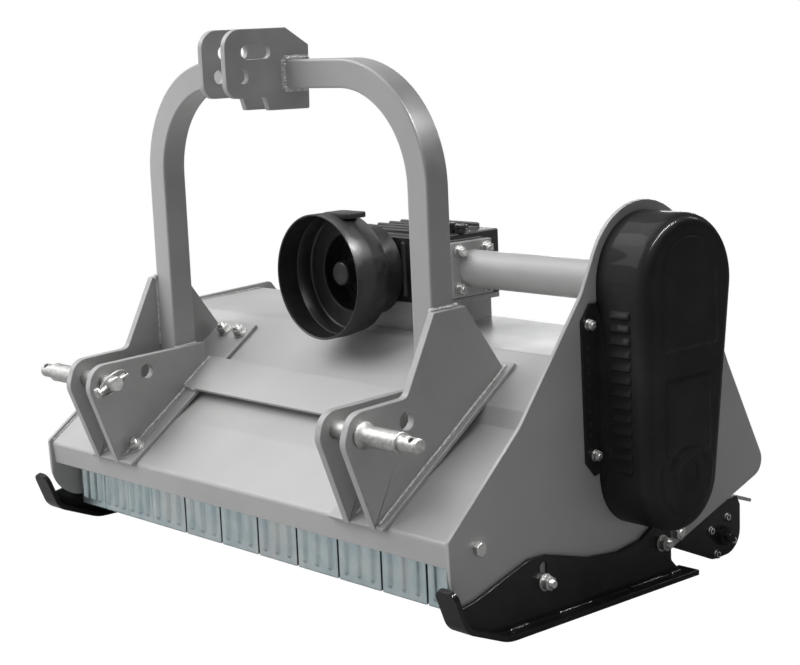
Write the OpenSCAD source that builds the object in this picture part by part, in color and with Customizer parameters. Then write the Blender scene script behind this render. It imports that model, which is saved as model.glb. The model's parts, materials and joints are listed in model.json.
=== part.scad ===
// Flail mower for a small tractor: X runs across the machine with the belt drive on +X,
// -Y is the tractor side, +Y the roller side, Z is up from the ground under the skids.

/* [Deck] */
// Outer face of the left side plate, measured from the hitch centre
left_edge = 480; // [470:1:500]
// Outer face of the right side plate, measured from the hitch centre
right_edge = 462; // [452:1:480]
// Thickness of the side plates
side_t = 6; // [5:0.5:8]
// Thickness of the bent deck sheet
deck_t = 4; // [3:0.5:5]
// Tilt of the front deck panels and of the hitch strips
deck_slope = 35.5; // [34:0.5:37]
// Height of the front bend above the ground
lip_top = 140; // [136:1:144]
// Distance of the front bend ahead of the hitch centre line
lip_y = 186; // [182:1:190]
// Height of the straight front lip
lip_h = 34; // [28:1:38]
// Height of the flat top panel above the ground
roof_z = 337; // [334:1:340]
// Rear edge of the flat top panel
roof_y = 262; // [255:1:268]

/* [Rotor] */
// Rotor axis behind the hitch centre line
rotor_y = 172; // [170:1:175]
// Rotor axis above the ground
rotor_z = 175; // [172:1:178]
// Outside diameter of the rotor tube
rotor_d = 100; // [90:1:106]
// Wall of the rotor tube
rotor_wall = 8; // [6:1:10]
// Diameter of the rotor stub shafts
stub_d = 30; // [28:1:34]
// Distance of the hammer pins from the rotor axis
hammer_pin_r = 78; // [76:1:80]
// Number of hammers
hammer_count = 8; // [4:2:8]
// Width of one hammer
hammer_w = 104; // [80:1:106]
// Reach of a hammer below its pin
hammer_l = 60; // [50:1:62]
// Diameter of the hammer pins
hammer_pin_d = 14; // [12:1:16]

/* [Front flaps] */
// Axis of the flap rod ahead of the hitch centre line
flap_y = 140; // [137:1:144]
// Height of the flap rod
flap_z = 126; // [122:1:128]
// Diameter of the flap rod
flap_rod_d = 12; // [10:1:14]
// Reach of a flap below the rod
flap_l = 94; // [80:1:98]
// Thickness of the flap sheet
flap_t = 3; // [2:0.5:4]
// Width of the wide flaps
flap_w = 86; // [80:1:87]
// Spacing of the wide flaps
flap_pitch = 90; // [88:0.5:91]

/* [Hitch] */
// Half the distance over the outer hitch plates
hitch_half = 330; // [326:1:334]
// Thickness of the hitch plates
hitch_t = 12; // [10:1:14]
// Side of the square mast tube
mast_w = 40; // [36:1:42]
// Wall of the mast tube
mast_wall = 4; // [3:0.5:5]
// Front face of the mast ahead of the hitch centre line
mast_y = 69; // [66:1:72]
// Top face of the mast
mast_top = 740; // [700:1:760]
// Outer radius of the mast bends
mast_r = 172; // [150:1:180]
// Thickness of the strips that carry the hitch plates
strip_t = 6; // [5:1:8]
// Diameter of the outer end of the lower hitch pins
pin_d = 22; // [20:0.1:24]
// Diameter of the barrel of the lower hitch pins
pin_barrel_d = 28; // [26:0.1:30]
// Axis of the lower hitch pins ahead of the hitch centre line
pin_y = 208; // [205:1:211]
// Height of the lower hitch pins
pin_z = 267; // [264:1:270]
// Length of the outer end of a lower hitch pin
pin_end_l = 33; // [30:1:40]
// Length of the slightly thinner lead-in at the tip of a pin
pin_lead_l = 20; // [20:1:24]
// Clear gap between the two top link plates
clevis_gap = 43; // [40:1:50]
// Thickness of the top link plates
clevis_t = 10; // [8:1:12]
// Diameter of the top link hole
link_hole_d = 19.5; // [19:0.1:22]

/* [Drive] */
// Axis of the cross shaft behind the hitch centre line
drive_y = 189; // [186:1:192]
// Height of the cross shaft
drive_z = 421; // [418:1:424]
// Root diameter of the input shaft
spline_d = 34.9; // [34:0.1:36]
// Diameter of the guard rim
guard_d = 186; // [170:1:190]
// Diameter of the drive tube
tube_d = 56; // [52:1:60]
// Outer face of the gearbox flange from the hitch centre
flange_x = 122; // [118:1:126]
// Side of the gearbox flange
flange_w = 82; // [78:1:86]
// Pitch diameter of the upper pulley
upper_pulley_d = 140; // [130:1:144]
// Pitch diameter of the lower pulley
lower_pulley_d = 105; // [96:1:112]
// Number of belts
belt_count = 3; // [2:1:3]
// Spacing of the belts
belt_pitch = 14; // [13:0.5:14]
// Diameter of the cross shaft
cross_d = 25; // [22:1:27]
// Pitch radius of the bevel wheel on the input shaft
bevel_r = 36; // [33:1:37]

/* [Belt cover] */
// Depth of the belt cover from the side plate
cover_depth = 86; // [80:1:95]
// Radius of the top of the cover
cover_top_r = 93; // [92:1:96]
// Radius of the bottom of the cover
cover_low_r = 76; // [75:1:78]
// Wall of the cover
cover_wall = 3; // [2.5:0.5:4]
// Rounding of the outer edge of the cover
cover_round = 16; // [10:1:20]

/* [Roller and skids] */
// Axis of the rear roller behind the hitch centre line
roller_y = 358; // [355:1:361]
// Diameter of the rear roller
roller_d = 64; // [60:1:66]
// Wall of the rear roller
roller_wall = 5; // [4:0.5:8]
// Diameter of the roller stub axles
axle_d = 20; // [18:1:22]
// Pivot of the roller arms behind the hitch centre line
arm_y = 248; // [246:1:251]
// Height of the pivot of the roller arms
arm_z = 62; // [60:1:64]
// Thickness of the skid runner
runner_t = 8; // [6:1:10]
// Thickness of the skid web
web_t = 6; // [5:0.5:8]
// Rear bolt of the skid behind the hitch centre line
skid_y = 208; // [206:1:210]
// Height of the rear bolt of the skid
skid_z = 57; // [55:1:59]
// Front bolt of the skid ahead of the hitch centre line
skid_front_y = 27; // [24:1:30]
// Length of the slot that lets the front of the skid down
skid_travel = 20; // [12:1:22]

/* [Hidden] */
$fn = 48;
fit = 0.05;       // radial play of a pin in its hole
gap = 0.4;        // play between pieces that move past each other
left_in = -left_edge + side_t;
right_in = right_edge - side_t;
bolt_d = 12;      // bolts of the skids and roller arms
cover_y = 186;
cover_z = 430;
cover_low_y = 168;
cover_low_z = 172;
roller_z = roller_d / 2;
clevis_out = clevis_gap / 2 + clevis_t;
mast_out = hitch_half - hitch_t;
inner_plate = mast_out - mast_w;
flap_count = 11;
narrow_count = 3;
end_gap = 6.5; // the outer flaps stop short of the skid runners
flap_start = left_in + 2 + end_gap;
wide_start = right_in - 3 - flap_w - (flap_count - narrow_count - 1) * flap_pitch;
flap_step = (wide_start - flap_start) / narrow_count;
hammer_pitch = (right_in - left_in - 30) / hammer_count;

rear_mid = [370, 286];
front_mid = [66, 424];
stand_x = [-24, 100];

FLAPS = [for (i = [1 : flap_count]) str("flap_", i < 10 ? "0" : "", i)];
HAMMERS = [for (i = [1 : hammer_count]) str("hammer_0", i)];

// Point on the tilted deck plane: s runs up the slope from the front bend, h stands off it
function on_slope(s, h = 0) = [
    -lip_y + s * cos(deck_slope) - h * sin(deck_slope),
    lip_top + s * sin(deck_slope) + h * cos(deck_slope)
];

// Unit vector from a to b
function dir(a, b) = (b - a) / norm(b - a);

// Arc that rounds corner b between a and c, with radius r in n steps
function corner(a, b, c, r, n = 8) =
    let (u = dir(b, a), v = dir(b, c), half = acos(u * v) / 2,
         m = b + dir([0, 0], u + v) * r / sin(half),
         p = b + u * r / tan(half), q = b + v * r / tan(half),
         a0 = atan2(p[1] - m[1], p[0] - m[0]),
         a1 = atan2(q[1] - m[1], q[0] - m[0]),
         turn = a1 - a0 > 180 ? a1 - a0 - 360 : a1 - a0 < -180 ? a1 - a0 + 360 : a1 - a0)
    [for (i = [0 : n]) m + r * [cos(a0 + turn * i / n), sin(a0 + turn * i / n)]];

// Closed outline from points [y, z, r], each corner rounded by its own r
function outline(pts) = let (k = len(pts)) [
    for (i = [0 : k - 1])
        let (a = pts[(i + k - 1) % k], b = pts[i], c = pts[(i + 1) % k])
        each (b[2] > 0
            ? corner([a[0], a[1]], [b[0], b[1]], [c[0], c[1]], b[2])
            : [[b[0], b[1]]])
];

// Open path with rounded corners
function path(pts) = let (k = len(pts)) [
    for (i = [0 : k - 1])
        let (b = pts[i])
        each (i > 0 && i < k - 1 && b[2] > 0
            ? corner([pts[i - 1][0], pts[i - 1][1]], [b[0], b[1]], [pts[i + 1][0], pts[i + 1][1]], b[2])
            : [[b[0], b[1]]])
];

// Left-hand normal of a path at point i, lengthened so that a bend keeps its thickness
function normal(p, i) = let (
    k = len(p),
    d0 = i > 0 ? dir(p[i - 1], p[i]) : dir(p[0], p[1]),
    d1 = i < k - 1 ? dir(p[i], p[i + 1]) : dir(p[k - 2], p[k - 1]),
    s = d0 + d1,
    t = s / norm(s)) [-t[1], t[0]] / (t * d0);

// Outline of a sheet of thickness t that follows a path on its left-hand side
function sheet(p, t) = concat(p, [for (i = [len(p) - 1 : -1 : 0]) p[i] + t * normal(p, i)]);

// Extrusion along X between two X values of an outline drawn in Y and Z
module along_x(x0, x1) translate([x0, 0, 0]) rotate([90, 0, 90]) linear_extrude(x1 - x0) children();

// Round bar or hole along X
module bar_x(x0, x1, y, z, d) translate([x0, y, z]) rotate([0, 90, 0]) cylinder(h = x1 - x0, d = d);

// Round bar or hole along Y
module bar_y(y0, y1, x, z, d) translate([x, y0, z]) rotate([-90, 0, 0]) cylinder(h = y1 - y0, d = d);

// Hexagon bar along X
module hex_x(x0, x1, y, z, s) translate([x0, y, z]) rotate([0, 90, 0]) cylinder(h = x1 - x0, d = s / cos(30), $fn = 6);

// Copy on the other side of the hitch centre
module both() {
    children();
    mirror([1, 0, 0]) children();
}

// Deck

deck_path = path([
    [-lip_y + 4, lip_top - lip_h, 0],
    [-lip_y, lip_top, 8],
    [on_slope(99)[0], on_slope(99)[1], 12],
    [on_slope(228)[0] - 12, on_slope(228)[1] - 23.5, 4],
    [on_slope(228)[0], on_slope(228)[1], 5],
    [on_slope((roof_z - 6 - lip_top) / sin(deck_slope))[0], roof_z - 6, 14],
    [roof_y, roof_z, 10],
    [392, 152, 0]
]);

module deck_shell() color([0.78, 0.78, 0.77]) difference() {
    along_x(left_in, right_in) polygon(sheet(deck_path, -deck_t));
    both() for (p = STRIP_BOLTS)
        translate([p[0], 0, 0]) slope_bore(p[1], 12.5);
}

// Height of the roof panel at a place along Y
function roof_at(y) = roof_z - 6 * (roof_y - y) / (roof_y - on_slope((roof_z - 6 - lip_top) / sin(deck_slope))[0]);

nose = [[-lip_y - 1, 44, 58], [240, 42, 14]];
heel = [455, 118, 24];

module left_side_plate() color([0.5, 0.5, 0.5]) difference() {
    roof_s = (roof_z - 6 - lip_top) / sin(deck_slope);
    along_x(-left_edge, left_in) polygon(outline([
        nose[0], nose[1], heel,
        [roof_y + 16, roof_z + 9, 12],
        [on_slope(roof_s, 6)[0], on_slope(roof_s, 6)[1], 20],
        [-lip_y - 4, lip_top + 4, 6]
    ]));
    bar_x(-left_edge - 1, left_in + 1, rotor_y, rotor_z, stub_d + 20);
    bar_x(-left_edge - 1, left_in + 1, -flap_y, flap_z, flap_rod_d + 2 * fit);
    side_holes(-left_edge - 1, left_in + 1);
}

// Holes of both side plates for the skid and roller bolts
module side_holes(x0, x1) {
    bar_x(x0, x1, -skid_front_y, skid_z, 12.5);
    bar_x(x0, x1, skid_y, skid_z, 12.5);
    bar_x(x0, x1, arm_y, arm_z, 12.5);
}

dome_r = cover_top_r + 14;

// Corner above the dome where the tangent from point p meets the dome's top
function dome_corner(p, side) = let (
    c = [cover_y + 3, cover_z],
    d = c - p,
    a = atan2(d[1], d[0]) + side * asin(dome_r / norm(d)),
    top = c[1] + dome_r) [p[0] + (top - p[1]) / tan(a), top, dome_r - 0.1];

right_outline = outline([
    nose[0], nose[1], heel,
    [rear_mid[0], rear_mid[1], 0],
    dome_corner(rear_mid, -1),
    dome_corner(front_mid, 1),
    [front_mid[0], front_mid[1], 60],
    [-56, 268, 120],
    [-lip_y - 4, lip_top + 5, 6]
]);

module right_side_plate() color([0.45, 0.45, 0.45]) difference() {
    along_x(right_in, right_edge) polygon(right_outline);
    bar_x(right_in - 1, right_edge + 1, rotor_y, rotor_z, stub_d + 20);
    bar_x(right_in - 1, right_edge + 1, drive_y, drive_z, tube_d + 2 * fit);
    bar_x(right_in - 1, right_edge + 1, -flap_y, flap_z, flap_rod_d + 2 * fit);
    side_holes(right_in - 1, right_edge + 1);
    for (p = COVER_BOLTS)
        bar_x(right_in - 1, right_edge + 1, p[0], p[1], 8.4);
}

// Front flaps

module flap_rod() color([0.6, 0.6, 0.6]) {
    bar_x(-left_edge - 2, right_edge + 2, -flap_y, flap_z, flap_rod_d);
    hex_x(right_edge, right_edge + 8, -flap_y, flap_z, 17);
    hex_x(-left_edge - 8, -left_edge, -flap_y, flap_z, 17);
}

function flap_x(i) = i <= narrow_count
    ? flap_start + (i - 1) * flap_step
    : wide_start + (i - narrow_count - 1) * flap_pitch;
function flap_width(i) = i <= narrow_count ? flap_step - 1 : i < flap_count ? flap_w : flap_w - end_gap;

// One flap: a rolled eye on the rod with a swaged plate hanging under it
module flap(i) color([0.6, 0.65, 0.66]) {
    eye_r = flap_rod_d / 2 + 2.8;
    w = flap_width(i);
    translate([flap_x(i), -flap_y, flap_z]) difference() {
        union() {
            rotate([0, 90, 0]) cylinder(h = w, r = eye_r);
            translate([0, -flap_t / 2, -flap_l]) cube([w, flap_t, flap_l - flap_rod_d / 2 - 1]);
            for (k = [-1, 0, 1])
                translate([w / 2 + k * w * 0.24 - 3, -flap_t / 2 - 2, -flap_l + 14])
                    cube([6, flap_t / 2 + 2, flap_l - 40]);
        }
        translate([-1, 0, 0]) rotate([0, 90, 0]) cylinder(h = w + 2, d = flap_rod_d + 2 * fit);
    }
}

// Hitch

hitch_bottom = -8;
strip_in = inner_plate - hitch_t - 33;
strip_out = hitch_half + 13;
boss_r = 28;

module outer_plate_shape() polygon(outline([
    [on_slope(hitch_bottom, strip_t / 2)[0], on_slope(hitch_bottom, strip_t / 2)[1], 0],
    [on_slope(292, strip_t / 2)[0], on_slope(292, strip_t / 2)[1], 0],
    [-19, 409, 3],
    [-76, 407, 3],
    [-130, 302, 14],
    [-226, 297, 28],
    [-240, 258, 26]
]));

module inner_plate_shape() polygon(outline([
    [on_slope(hitch_bottom, strip_t / 2)[0], on_slope(hitch_bottom, strip_t / 2)[1], 0],
    [on_slope(205, strip_t / 2)[0], on_slope(205, strip_t / 2)[1], 0],
    [-20, 270, 2],
    [-20, 301, 3],
    [-228, 293, 28],
    [-238, 258, 26]
]));

// Strip on the deck with its outer and inner plate, welded into one piece
module hitch_bracket(side) color([0.55, 0.55, 0.55]) mirror([side < 0 ? 1 : 0, 0, 0]) difference() {
    union() {
        along_x(mast_out, hitch_half) outer_plate_shape();
        along_x(inner_plate - hitch_t, inner_plate) inner_plate_shape();
        along_x(strip_in, strip_out) polygon([on_slope(-6, 0.02), on_slope(304, 0.02), on_slope(304, strip_t), on_slope(-6, strip_t)]);
    }
    bar_x(mast_out - 1, hitch_half + 1, -pin_y, pin_z, shank_d + 2 * fit);
    bar_x(inner_plate - hitch_t - 1, inner_plate + 1, -pin_y, pin_z, shank_d + 2 * fit);
    bar_x(mast_out - 1, hitch_half + 1, -132, 272, 25);
    bar_x(inner_plate - hitch_t - 1, inner_plate + 1, -132, 272, 22);
    for (p = STRIP_BOLTS)
        translate([p[0], 0, 0]) slope_bore(p[1], 12.5);
}

shank_d = 24;
STRIP_BOLTS = [[inner_plate - 27, 27], [inner_plate - 27, 281], [inner_plate + 14, 281]];

// Hole square to the tilted deck
module slope_bore(s, d)
    translate([0, on_slope(s)[0], on_slope(s)[1]]) rotate([deck_slope, 0, 0]) translate([0, 0, -20]) cylinder(h = 60, d = d);

module hitch_crossbar() color([0.7, 0.7, 0.7]) {
    reach = inner_plate - hitch_t - 0.2;
    along_x(-reach, reach) polygon([
        on_slope(153, strip_t), on_slope(222, strip_t), on_slope(222, strip_t + 5), on_slope(153, strip_t + 5)
    ]);
}

// Bent half of the mast, from the link plates down between the hitch plates
module mast_tube(side) color([0.68, 0.68, 0.67]) mirror([side < 0 ? 1 : 0, 0, 0])
    difference() {
        mast_half(0);
        mast_half(mast_wall);
    }

mast_foot = 264;

module mast_half(w) {
    bend_x = mast_out - mast_r;
    bend_z = mast_top - mast_r;
    over = w > 0 ? 1 : 0;
    translate([0, -mast_y + w, 0]) {
        translate([mast_out - mast_w + w, 0, mast_foot - over])
            cube([mast_w - 2 * w, mast_w - 2 * w, bend_z - mast_foot + over + 0.01]);
        translate([clevis_out - over, 0, mast_top - mast_w + w])
            cube([bend_x - clevis_out + over + 0.01, mast_w - 2 * w, mast_w - 2 * w]);
        translate([bend_x, 0, bend_z]) rotate([-90, 0, 0]) rotate([0, 0, -90]) rotate_extrude(angle = 90, $fn = 96)
            translate([mast_r - mast_w + w, 0]) square([mast_w - 2 * w, mast_w - 2 * w]);
    }
}

link_hole = [-141, 720];
link_slot_y = [-132, -100];
link_slot_z = 753;

// Top link plate, drawn in Y and Z and set beside the hitch centre
module link_plate(side) color([0.4, 0.4, 0.4]) mirror([side < 0 ? 1 : 0, 0, 0]) difference() {
    along_x(clevis_gap / 2, clevis_out) polygon(outline([
        [-170, 690, 20], [-103, 690, 6], [-97, 671, 3], [-25, 670, 3],
        [-22, 760, 3], [-62, 785, 3], [-170, 785, 26]
    ]));
    bar_x(clevis_gap / 2 - 1, clevis_out + 1, link_hole[0], link_hole[1], link_hole_d);
    for (y = link_slot_y)
        bar_x(clevis_gap / 2 - 1, clevis_out + 1, y, link_slot_z, link_hole_d);
    translate([clevis_gap / 2 - 1, link_slot_y[0], link_slot_z - link_hole_d / 2])
        cube([clevis_t + 2, link_slot_y[1] - link_slot_y[0], link_hole_d]);
}

// Lower hitch pin with a barrel and a smaller end, cross-drilled at both ends
module hitch_pin(side) color([0.8, 0.8, 0.78]) mirror([side < 0 ? 1 : 0, 0, 0]) difference() {
    end_x = hitch_half + 107;
    union() {
        bar_x(inner_plate - hitch_t - (side < 0 ? 32 : 14), hitch_half + 1, -pin_y, pin_z, shank_d);
        bar_x(hitch_half, hitch_half + 10, -pin_y, pin_z, 36);
        bar_x(hitch_half + 9, end_x - pin_end_l, -pin_y, pin_z, pin_barrel_d);
        bar_x(end_x - pin_end_l - 1, end_x - pin_lead_l, -pin_y, pin_z, pin_d);
        bar_x(end_x - pin_lead_l - 1, end_x, -pin_y, pin_z, pin_d - 1);
        if (side < 0) bar_x(mast_out - 30, mast_out, -pin_y, pin_z, collar_d);
    }
    translate([end_x - 10, -pin_y, pin_z]) rotate([35, 0, 0]) translate([0, 0, -20]) cylinder(h = 40, d = 8);
    if (side < 0) lynch_hole(lynch_d);
}

// Axis of the lynch pin through the inner end of a hitch pin
module lynch_hole(d)
    translate([lynch_x, -pin_y, pin_z]) rotate([lynch_turn, 0, 0])
        translate([0, 0, -26]) cylinder(h = 52, d = d);

collar_d = 26;
lynch_turn = 112;
lynch_x = inner_plate - hitch_t - 19;
lynch_d = 8;
lynch_ring_r = 26;

// Lynch pin of the left hitch pin: a round pin with a head and a spring ring
module lynch_pin() color([0.8, 0.8, 0.76]) mirror([1, 0, 0])
    translate([lynch_x, -pin_y, pin_z]) rotate([lynch_turn, 0, 0]) {
        translate([0, 0, -lynch_ring_r - 3]) cylinder(h = 2 * lynch_ring_r + 4, d = lynch_d - 2 * fit);
        translate([0, 0, lynch_ring_r - 1]) cylinder(h = 7, d = 13);
        rotate([0, 0, 40]) rotate([0, 90, 0]) rotate_extrude($fn = 48)
            translate([lynch_ring_r, 0]) circle(d = 3, $fn = 16);
    }

// Bolt with a hexagon head and washer on the strip, square to the deck
module strip_bolt(x, s) translate([x, on_slope(s)[0], on_slope(s)[1]]) rotate([deck_slope, 0, 0]) {
    translate([0, 0, -deck_t - 12]) cylinder(h = deck_t + strip_t + 16, d = 12);
    translate([0, 0, strip_t + 0.02]) cylinder(h = 2, d = 23);
    translate([0, 0, strip_t + 2]) cylinder(h = 7.5, d = 19 / cos(30), $fn = 6);
    translate([0, 0, -deck_t - 10]) cylinder(h = 10 - 0.02, d = 19 / cos(30), $fn = 6);
}

module hitch_bolts() color([0.75, 0.75, 0.72]) both()
    for (p = STRIP_BOLTS) strip_bolt(p[0], p[1]);

// Gearbox

body_front = drive_y - 77;
body_rear = drive_y + 76;
body_low = 375;
body_top = 472;
guard_front = -2.5;
boss_d = 104;
boss_l = 14;

module gearbox_housing() color([0.16, 0.16, 0.17]) difference() {
    union() {
        translate([-78, body_front, body_low]) cube([flange_x - 10 + 78, body_rear - body_front, body_top - body_low]);
        bar_y(body_front - boss_l, body_front + 1, 0, drive_z, boss_d);
        translate([flange_x - 10, drive_y - flange_w / 2, drive_z - flange_w / 2]) cube([10, flange_w, flange_w]);
        for (y = [body_front + 20 : 24 : body_rear - 8])
            translate([-70, y, body_top - 1]) cube([150, 6, 9]);
        for (x = [-66, 66, 92])
            translate([x - 3, body_front - 4, body_low + 8]) cube([6, 5, body_top - body_low - 16]);
    }
    bar_y(body_front - 20, body_rear - 14, 0, drive_z, 70);
    bar_x(20, flange_x + 1, drive_y, drive_z, 52);
    translate([-44, drive_y - 55, drive_z - 41]) cube([98, 104, 86]);
    for (y = [-28, 28], z = [-28, 28])
        bar_x(flange_x - 30, flange_x + 1, drive_y + y, drive_z + z, 10.2);
}

module gearbox_plugs() color([0.3, 0.3, 0.3]) {
    for (p = [[89, 12, 14], [108, 16, 12]])
        translate([p[0], drive_y, body_top]) {
            cylinder(h = p[2] - 4, d = p[1]);
            translate([0, 0, p[2] - 5]) cylinder(h = 6, d = p[1] + 2, $fn = 6);
        }
    translate([-20, body_rear, drive_z]) rotate([-90, 0, 0]) cylinder(h = 8, d = 24, $fn = 6);
}

// Welded pedestal: two cheeks and a front web on the roof panel, with a flat top plate
module gearbox_stand() color([0.5, 0.5, 0.5]) {
    low = body_low - 8;
    for (x = [stand_x[0], stand_x[1] - 8])
        along_x(x, x + 8) stand_shape(body_front + 4, body_rear - 8, low);
    along_x(stand_x[0], stand_x[1]) stand_shape(body_front + 4, body_front + 12, low);
    translate([stand_x[0] - 10, body_front + 2, low])
        cube([stand_x[1] - stand_x[0] + 20, body_rear - body_front - 2, 8]);
}

module stand_shape(y0, y1, top)
    polygon([[y0, roof_at(y0) + 0.02], [y1, roof_at(y1) + 0.02], [y1, top + 1], [y0, top + 1]]);

module gearbox_bearings() color([0.75, 0.76, 0.78]) {
    for (y = [body_front - 12, body_rear - 32])
        translate([0, y, drive_z]) rotate([-90, 0, 0]) ring(18, 70, 36);
    for (x = [62, flange_x - 18])
        translate([x, drive_y, drive_z]) rotate([0, 90, 0]) ring(16, 52, cross_d);
}

// Flat ring of height h between two diameters
module ring(h, d_out, d_in) difference() {
    cylinder(h = h, d = d_out - 2 * fit);
    translate([0, 0, -1]) cylinder(h = h + 2, d = d_in);
}

// Stepped cup around the input shaft
module pto_guard() color([0.1, 0.1, 0.11]) difference() {
    union() {
        translate([0, guard_front, drive_z]) rotate([-90, 0, 0]) rotate_extrude($fn = 96) polygon([
            [guard_d / 2 - 3, 0], [guard_d / 2, 0], [guard_d / 2, 34], [guard_d / 2 - 4, 64],
            [70, 66], [68, 110], [boss_d / 2 + fit, 110], [boss_d / 2 + fit, 100.2], [65, 100.2], [66, 70], [57, 66],
            [57, 62], [guard_d / 2 - 8, 61], [guard_d / 2 - 3, 34]
        ]);
        translate([-8, guard_front + 22, drive_z + guard_d / 2 - 6]) cube([56, 42, 8]);
    }
    bar_y(guard_front - 1, guard_front + 99, 0, drive_z, boss_d);
}

input_tip = 44;

// Input shaft with six splines and its bevel wheel
module input_shaft() color([0.7, 0.71, 0.72]) {
    translate([0, input_tip, drive_z]) rotate([-90, 0, 0]) {
        difference() {
            cylinder(h = 76, d = spline_d);
            for (k = [0 : 5])
                rotate([0, 0, k * 60 + 30]) translate([spline_d / 2 - 2.6, -4.4, -1]) cube([6, 8.8, 62]);
            translate([0, 0, 33]) rotate_extrude() translate([spline_d / 2 + 1.4, 0]) circle(r = 4, $fn = 24);
        }
        translate([0, 0, 75]) cylinder(h = body_rear - 14 - input_tip - 76, d = 36 - 2 * fit);
    }
    bevel(27, [0, drive_y, drive_z], [90, 0, 0], bevel_r, 0.5);
}

bevel_ratio = 3;

// Bevel wheel with its apex on the crossing of both shafts: n teeth on a pitch radius r
module bevel(n, at, turn, r, phase) {
    apex = n > 20 ? r / bevel_ratio : r * bevel_ratio;
    lean = atan(r / apex);
    slant = norm([r, apex]);
    inner = 0.66;
    root = 1.8 * [cos(lean), -sin(lean)];
    translate(at) rotate(turn) {
        rotate_extrude($fn = 54) polygon([
            [0, apex * inner - root[1]],
            [r * inner - root[0], apex * inner - root[1]],
            [r - root[0], apex - root[1]],
            [r - root[0] - 2, apex + 9], [0, apex + 9]
        ]);
        for (k = [0 : n - 1])
            rotate([0, 0, (k + phase) * 360 / n]) rotate([0, lean, 0])
                translate([-2.1, -0.9, slant * inner]) cube([3.5, 1.8, slant * (1 - inner) - 0.4]);
    }
}

pulley_x = right_edge + 26;
pulley_w = belt_count * belt_pitch + 2;

// Cross shaft with its bevel pinion, carried on to the upper pulley
module cross_shaft() color([0.7, 0.71, 0.72]) {
    bar_x(bevel_r + 4, pulley_x + pulley_w + 4, drive_y, drive_z, cross_d - 2 * fit);
    bevel(9, [0, drive_y, drive_z], [0, 90, 0], bevel_r / bevel_ratio, -2.25);
}

// Tube around the cross shaft with its flange at the gearbox
module drive_tube() color([0.75, 0.75, 0.74]) difference() {
    union() {
        bar_x(flange_x, right_edge, drive_y, drive_z, tube_d);
        translate([flange_x + 0.02, drive_y - flange_w / 2, drive_z - flange_w / 2]) cube([10, flange_w, flange_w]);
    }
    bar_x(flange_x - 1, right_edge + 1, drive_y, drive_z, tube_d - 10);
    for (y = [-28, 28], z = [-28, 28])
        bar_x(flange_x - 1, flange_x + 11, drive_y + y, drive_z + z, 10.2);
}

// Belt drive

// Grooved pulley of pitch diameter d on a shaft of diameter bore
module pulley(d, bore, y, z) translate([pulley_x, y, z]) rotate([0, 90, 0]) difference() {
    rotate_extrude($fn = 72) polygon(concat(
        [[bore / 2, 0], [d / 2 + 5, 0]],
        [for (k = [0 : belt_count - 1]) each [
            [d / 2 + 5, 2 + k * belt_pitch], [d / 2 - 8, 5 + k * belt_pitch],
            [d / 2 - 8, 11 + k * belt_pitch], [d / 2 + 5, k * belt_pitch + 14]]],
        [[d / 2 + 5, pulley_w], [bore / 2, pulley_w]]));
    for (a = [0 : 90 : 270])
        rotate([0, 0, a]) translate([(d - 16 + bore) / 4 + 1, 0, -1]) cylinder(h = pulley_w + 2, d = (d - 16 - bore) / 4);
}

module upper_pulley() color([0.35, 0.36, 0.37]) pulley(upper_pulley_d, cross_d - 2 * fit, drive_y, drive_z);

module lower_pulley() color([0.35, 0.36, 0.37]) pulley(lower_pulley_d, stub_d - 2 * fit, rotor_y, rotor_z);

// Belts round both pulleys, each one closed loop in its own groove
module drive_belts() color([0.08, 0.08, 0.08]) {
    dy = drive_y - rotor_y;
    dz = drive_z - rotor_z;
    span = norm([dy, dz]);
    r0 = upper_pulley_d / 2 - 7.2;
    r1 = lower_pulley_d / 2 - 7.2;
    lean = asin((r0 - r1) / span);
    for (k = [0 : belt_count - 1])
        translate([pulley_x + 5.4 + k * belt_pitch, rotor_y, rotor_z]) rotate([-atan2(dy, dz), 0, 0]) rotate([90, 0, 90])
            linear_extrude(5.2) difference() {
                belt_outline(r0 + 11, r1 + 11, span, lean);
                belt_outline(r0, r1, span, lean);
            }
}

// Outline round two circles at a distance along Y, with its straight runs on their tangents
module belt_outline(r0, r1, span, lean) polygon(concat(
    [for (i = [0 : 28]) let (a = lean + (180 - 2 * lean) * i / 28) [r0 * cos(a), span + r0 * sin(a)]],
    [for (i = [0 : 28]) let (a = 180 - lean + (180 + 2 * lean) * i / 28) [r1 * cos(a), r1 * sin(a)]]));

COVER_BOLTS = [[72, 383], [79, 206]];

// Rounded disc along X that the cover is drawn over
module cover_disc(y, z, r, depth, round) translate([right_edge, y, z]) rotate([0, 90, 0])
    rotate_extrude($fn = 64) polygon(concat(
        [[0, 0], [r, 0]],
        [for (i = [0 : 6]) [r - 2 - round + round * cos(i * 15), depth - round + round * sin(i * 15)]],
        [[0, depth]]));

module cover_body(inset) hull() {
    cover_disc(cover_y, cover_z, cover_top_r - inset, cover_depth - inset, cover_round - inset);
    cover_disc(cover_low_y, cover_low_z, cover_low_r - inset, cover_depth - inset, cover_round - inset);
}

module belt_cover() color([0.1, 0.1, 0.11]) difference() {
    union() {
        cover_body(0);
        for (k = [0 : 12])
            translate([right_edge + 22, cover_y - cover_top_r - 0.5, 190 + k * 16.6]) rotate([6, 0, 0]) cube([36, 8, 4]);
    }
    translate([-0.05, 0, 0]) cover_body(cover_wall);
    hull() {
        translate([right_edge + cover_depth - 1.2, cover_y - 3, cover_z - 7]) rotate([0, 90, 0]) cylinder(h = 4, r = 55);
        translate([right_edge + cover_depth - 1.2, cover_y - 55, 342]) cube([4, 104, 2]);
    }
    translate([right_edge + cover_depth - 1.2, 132, 196]) cube([4, 88, 116]);
}

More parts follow.
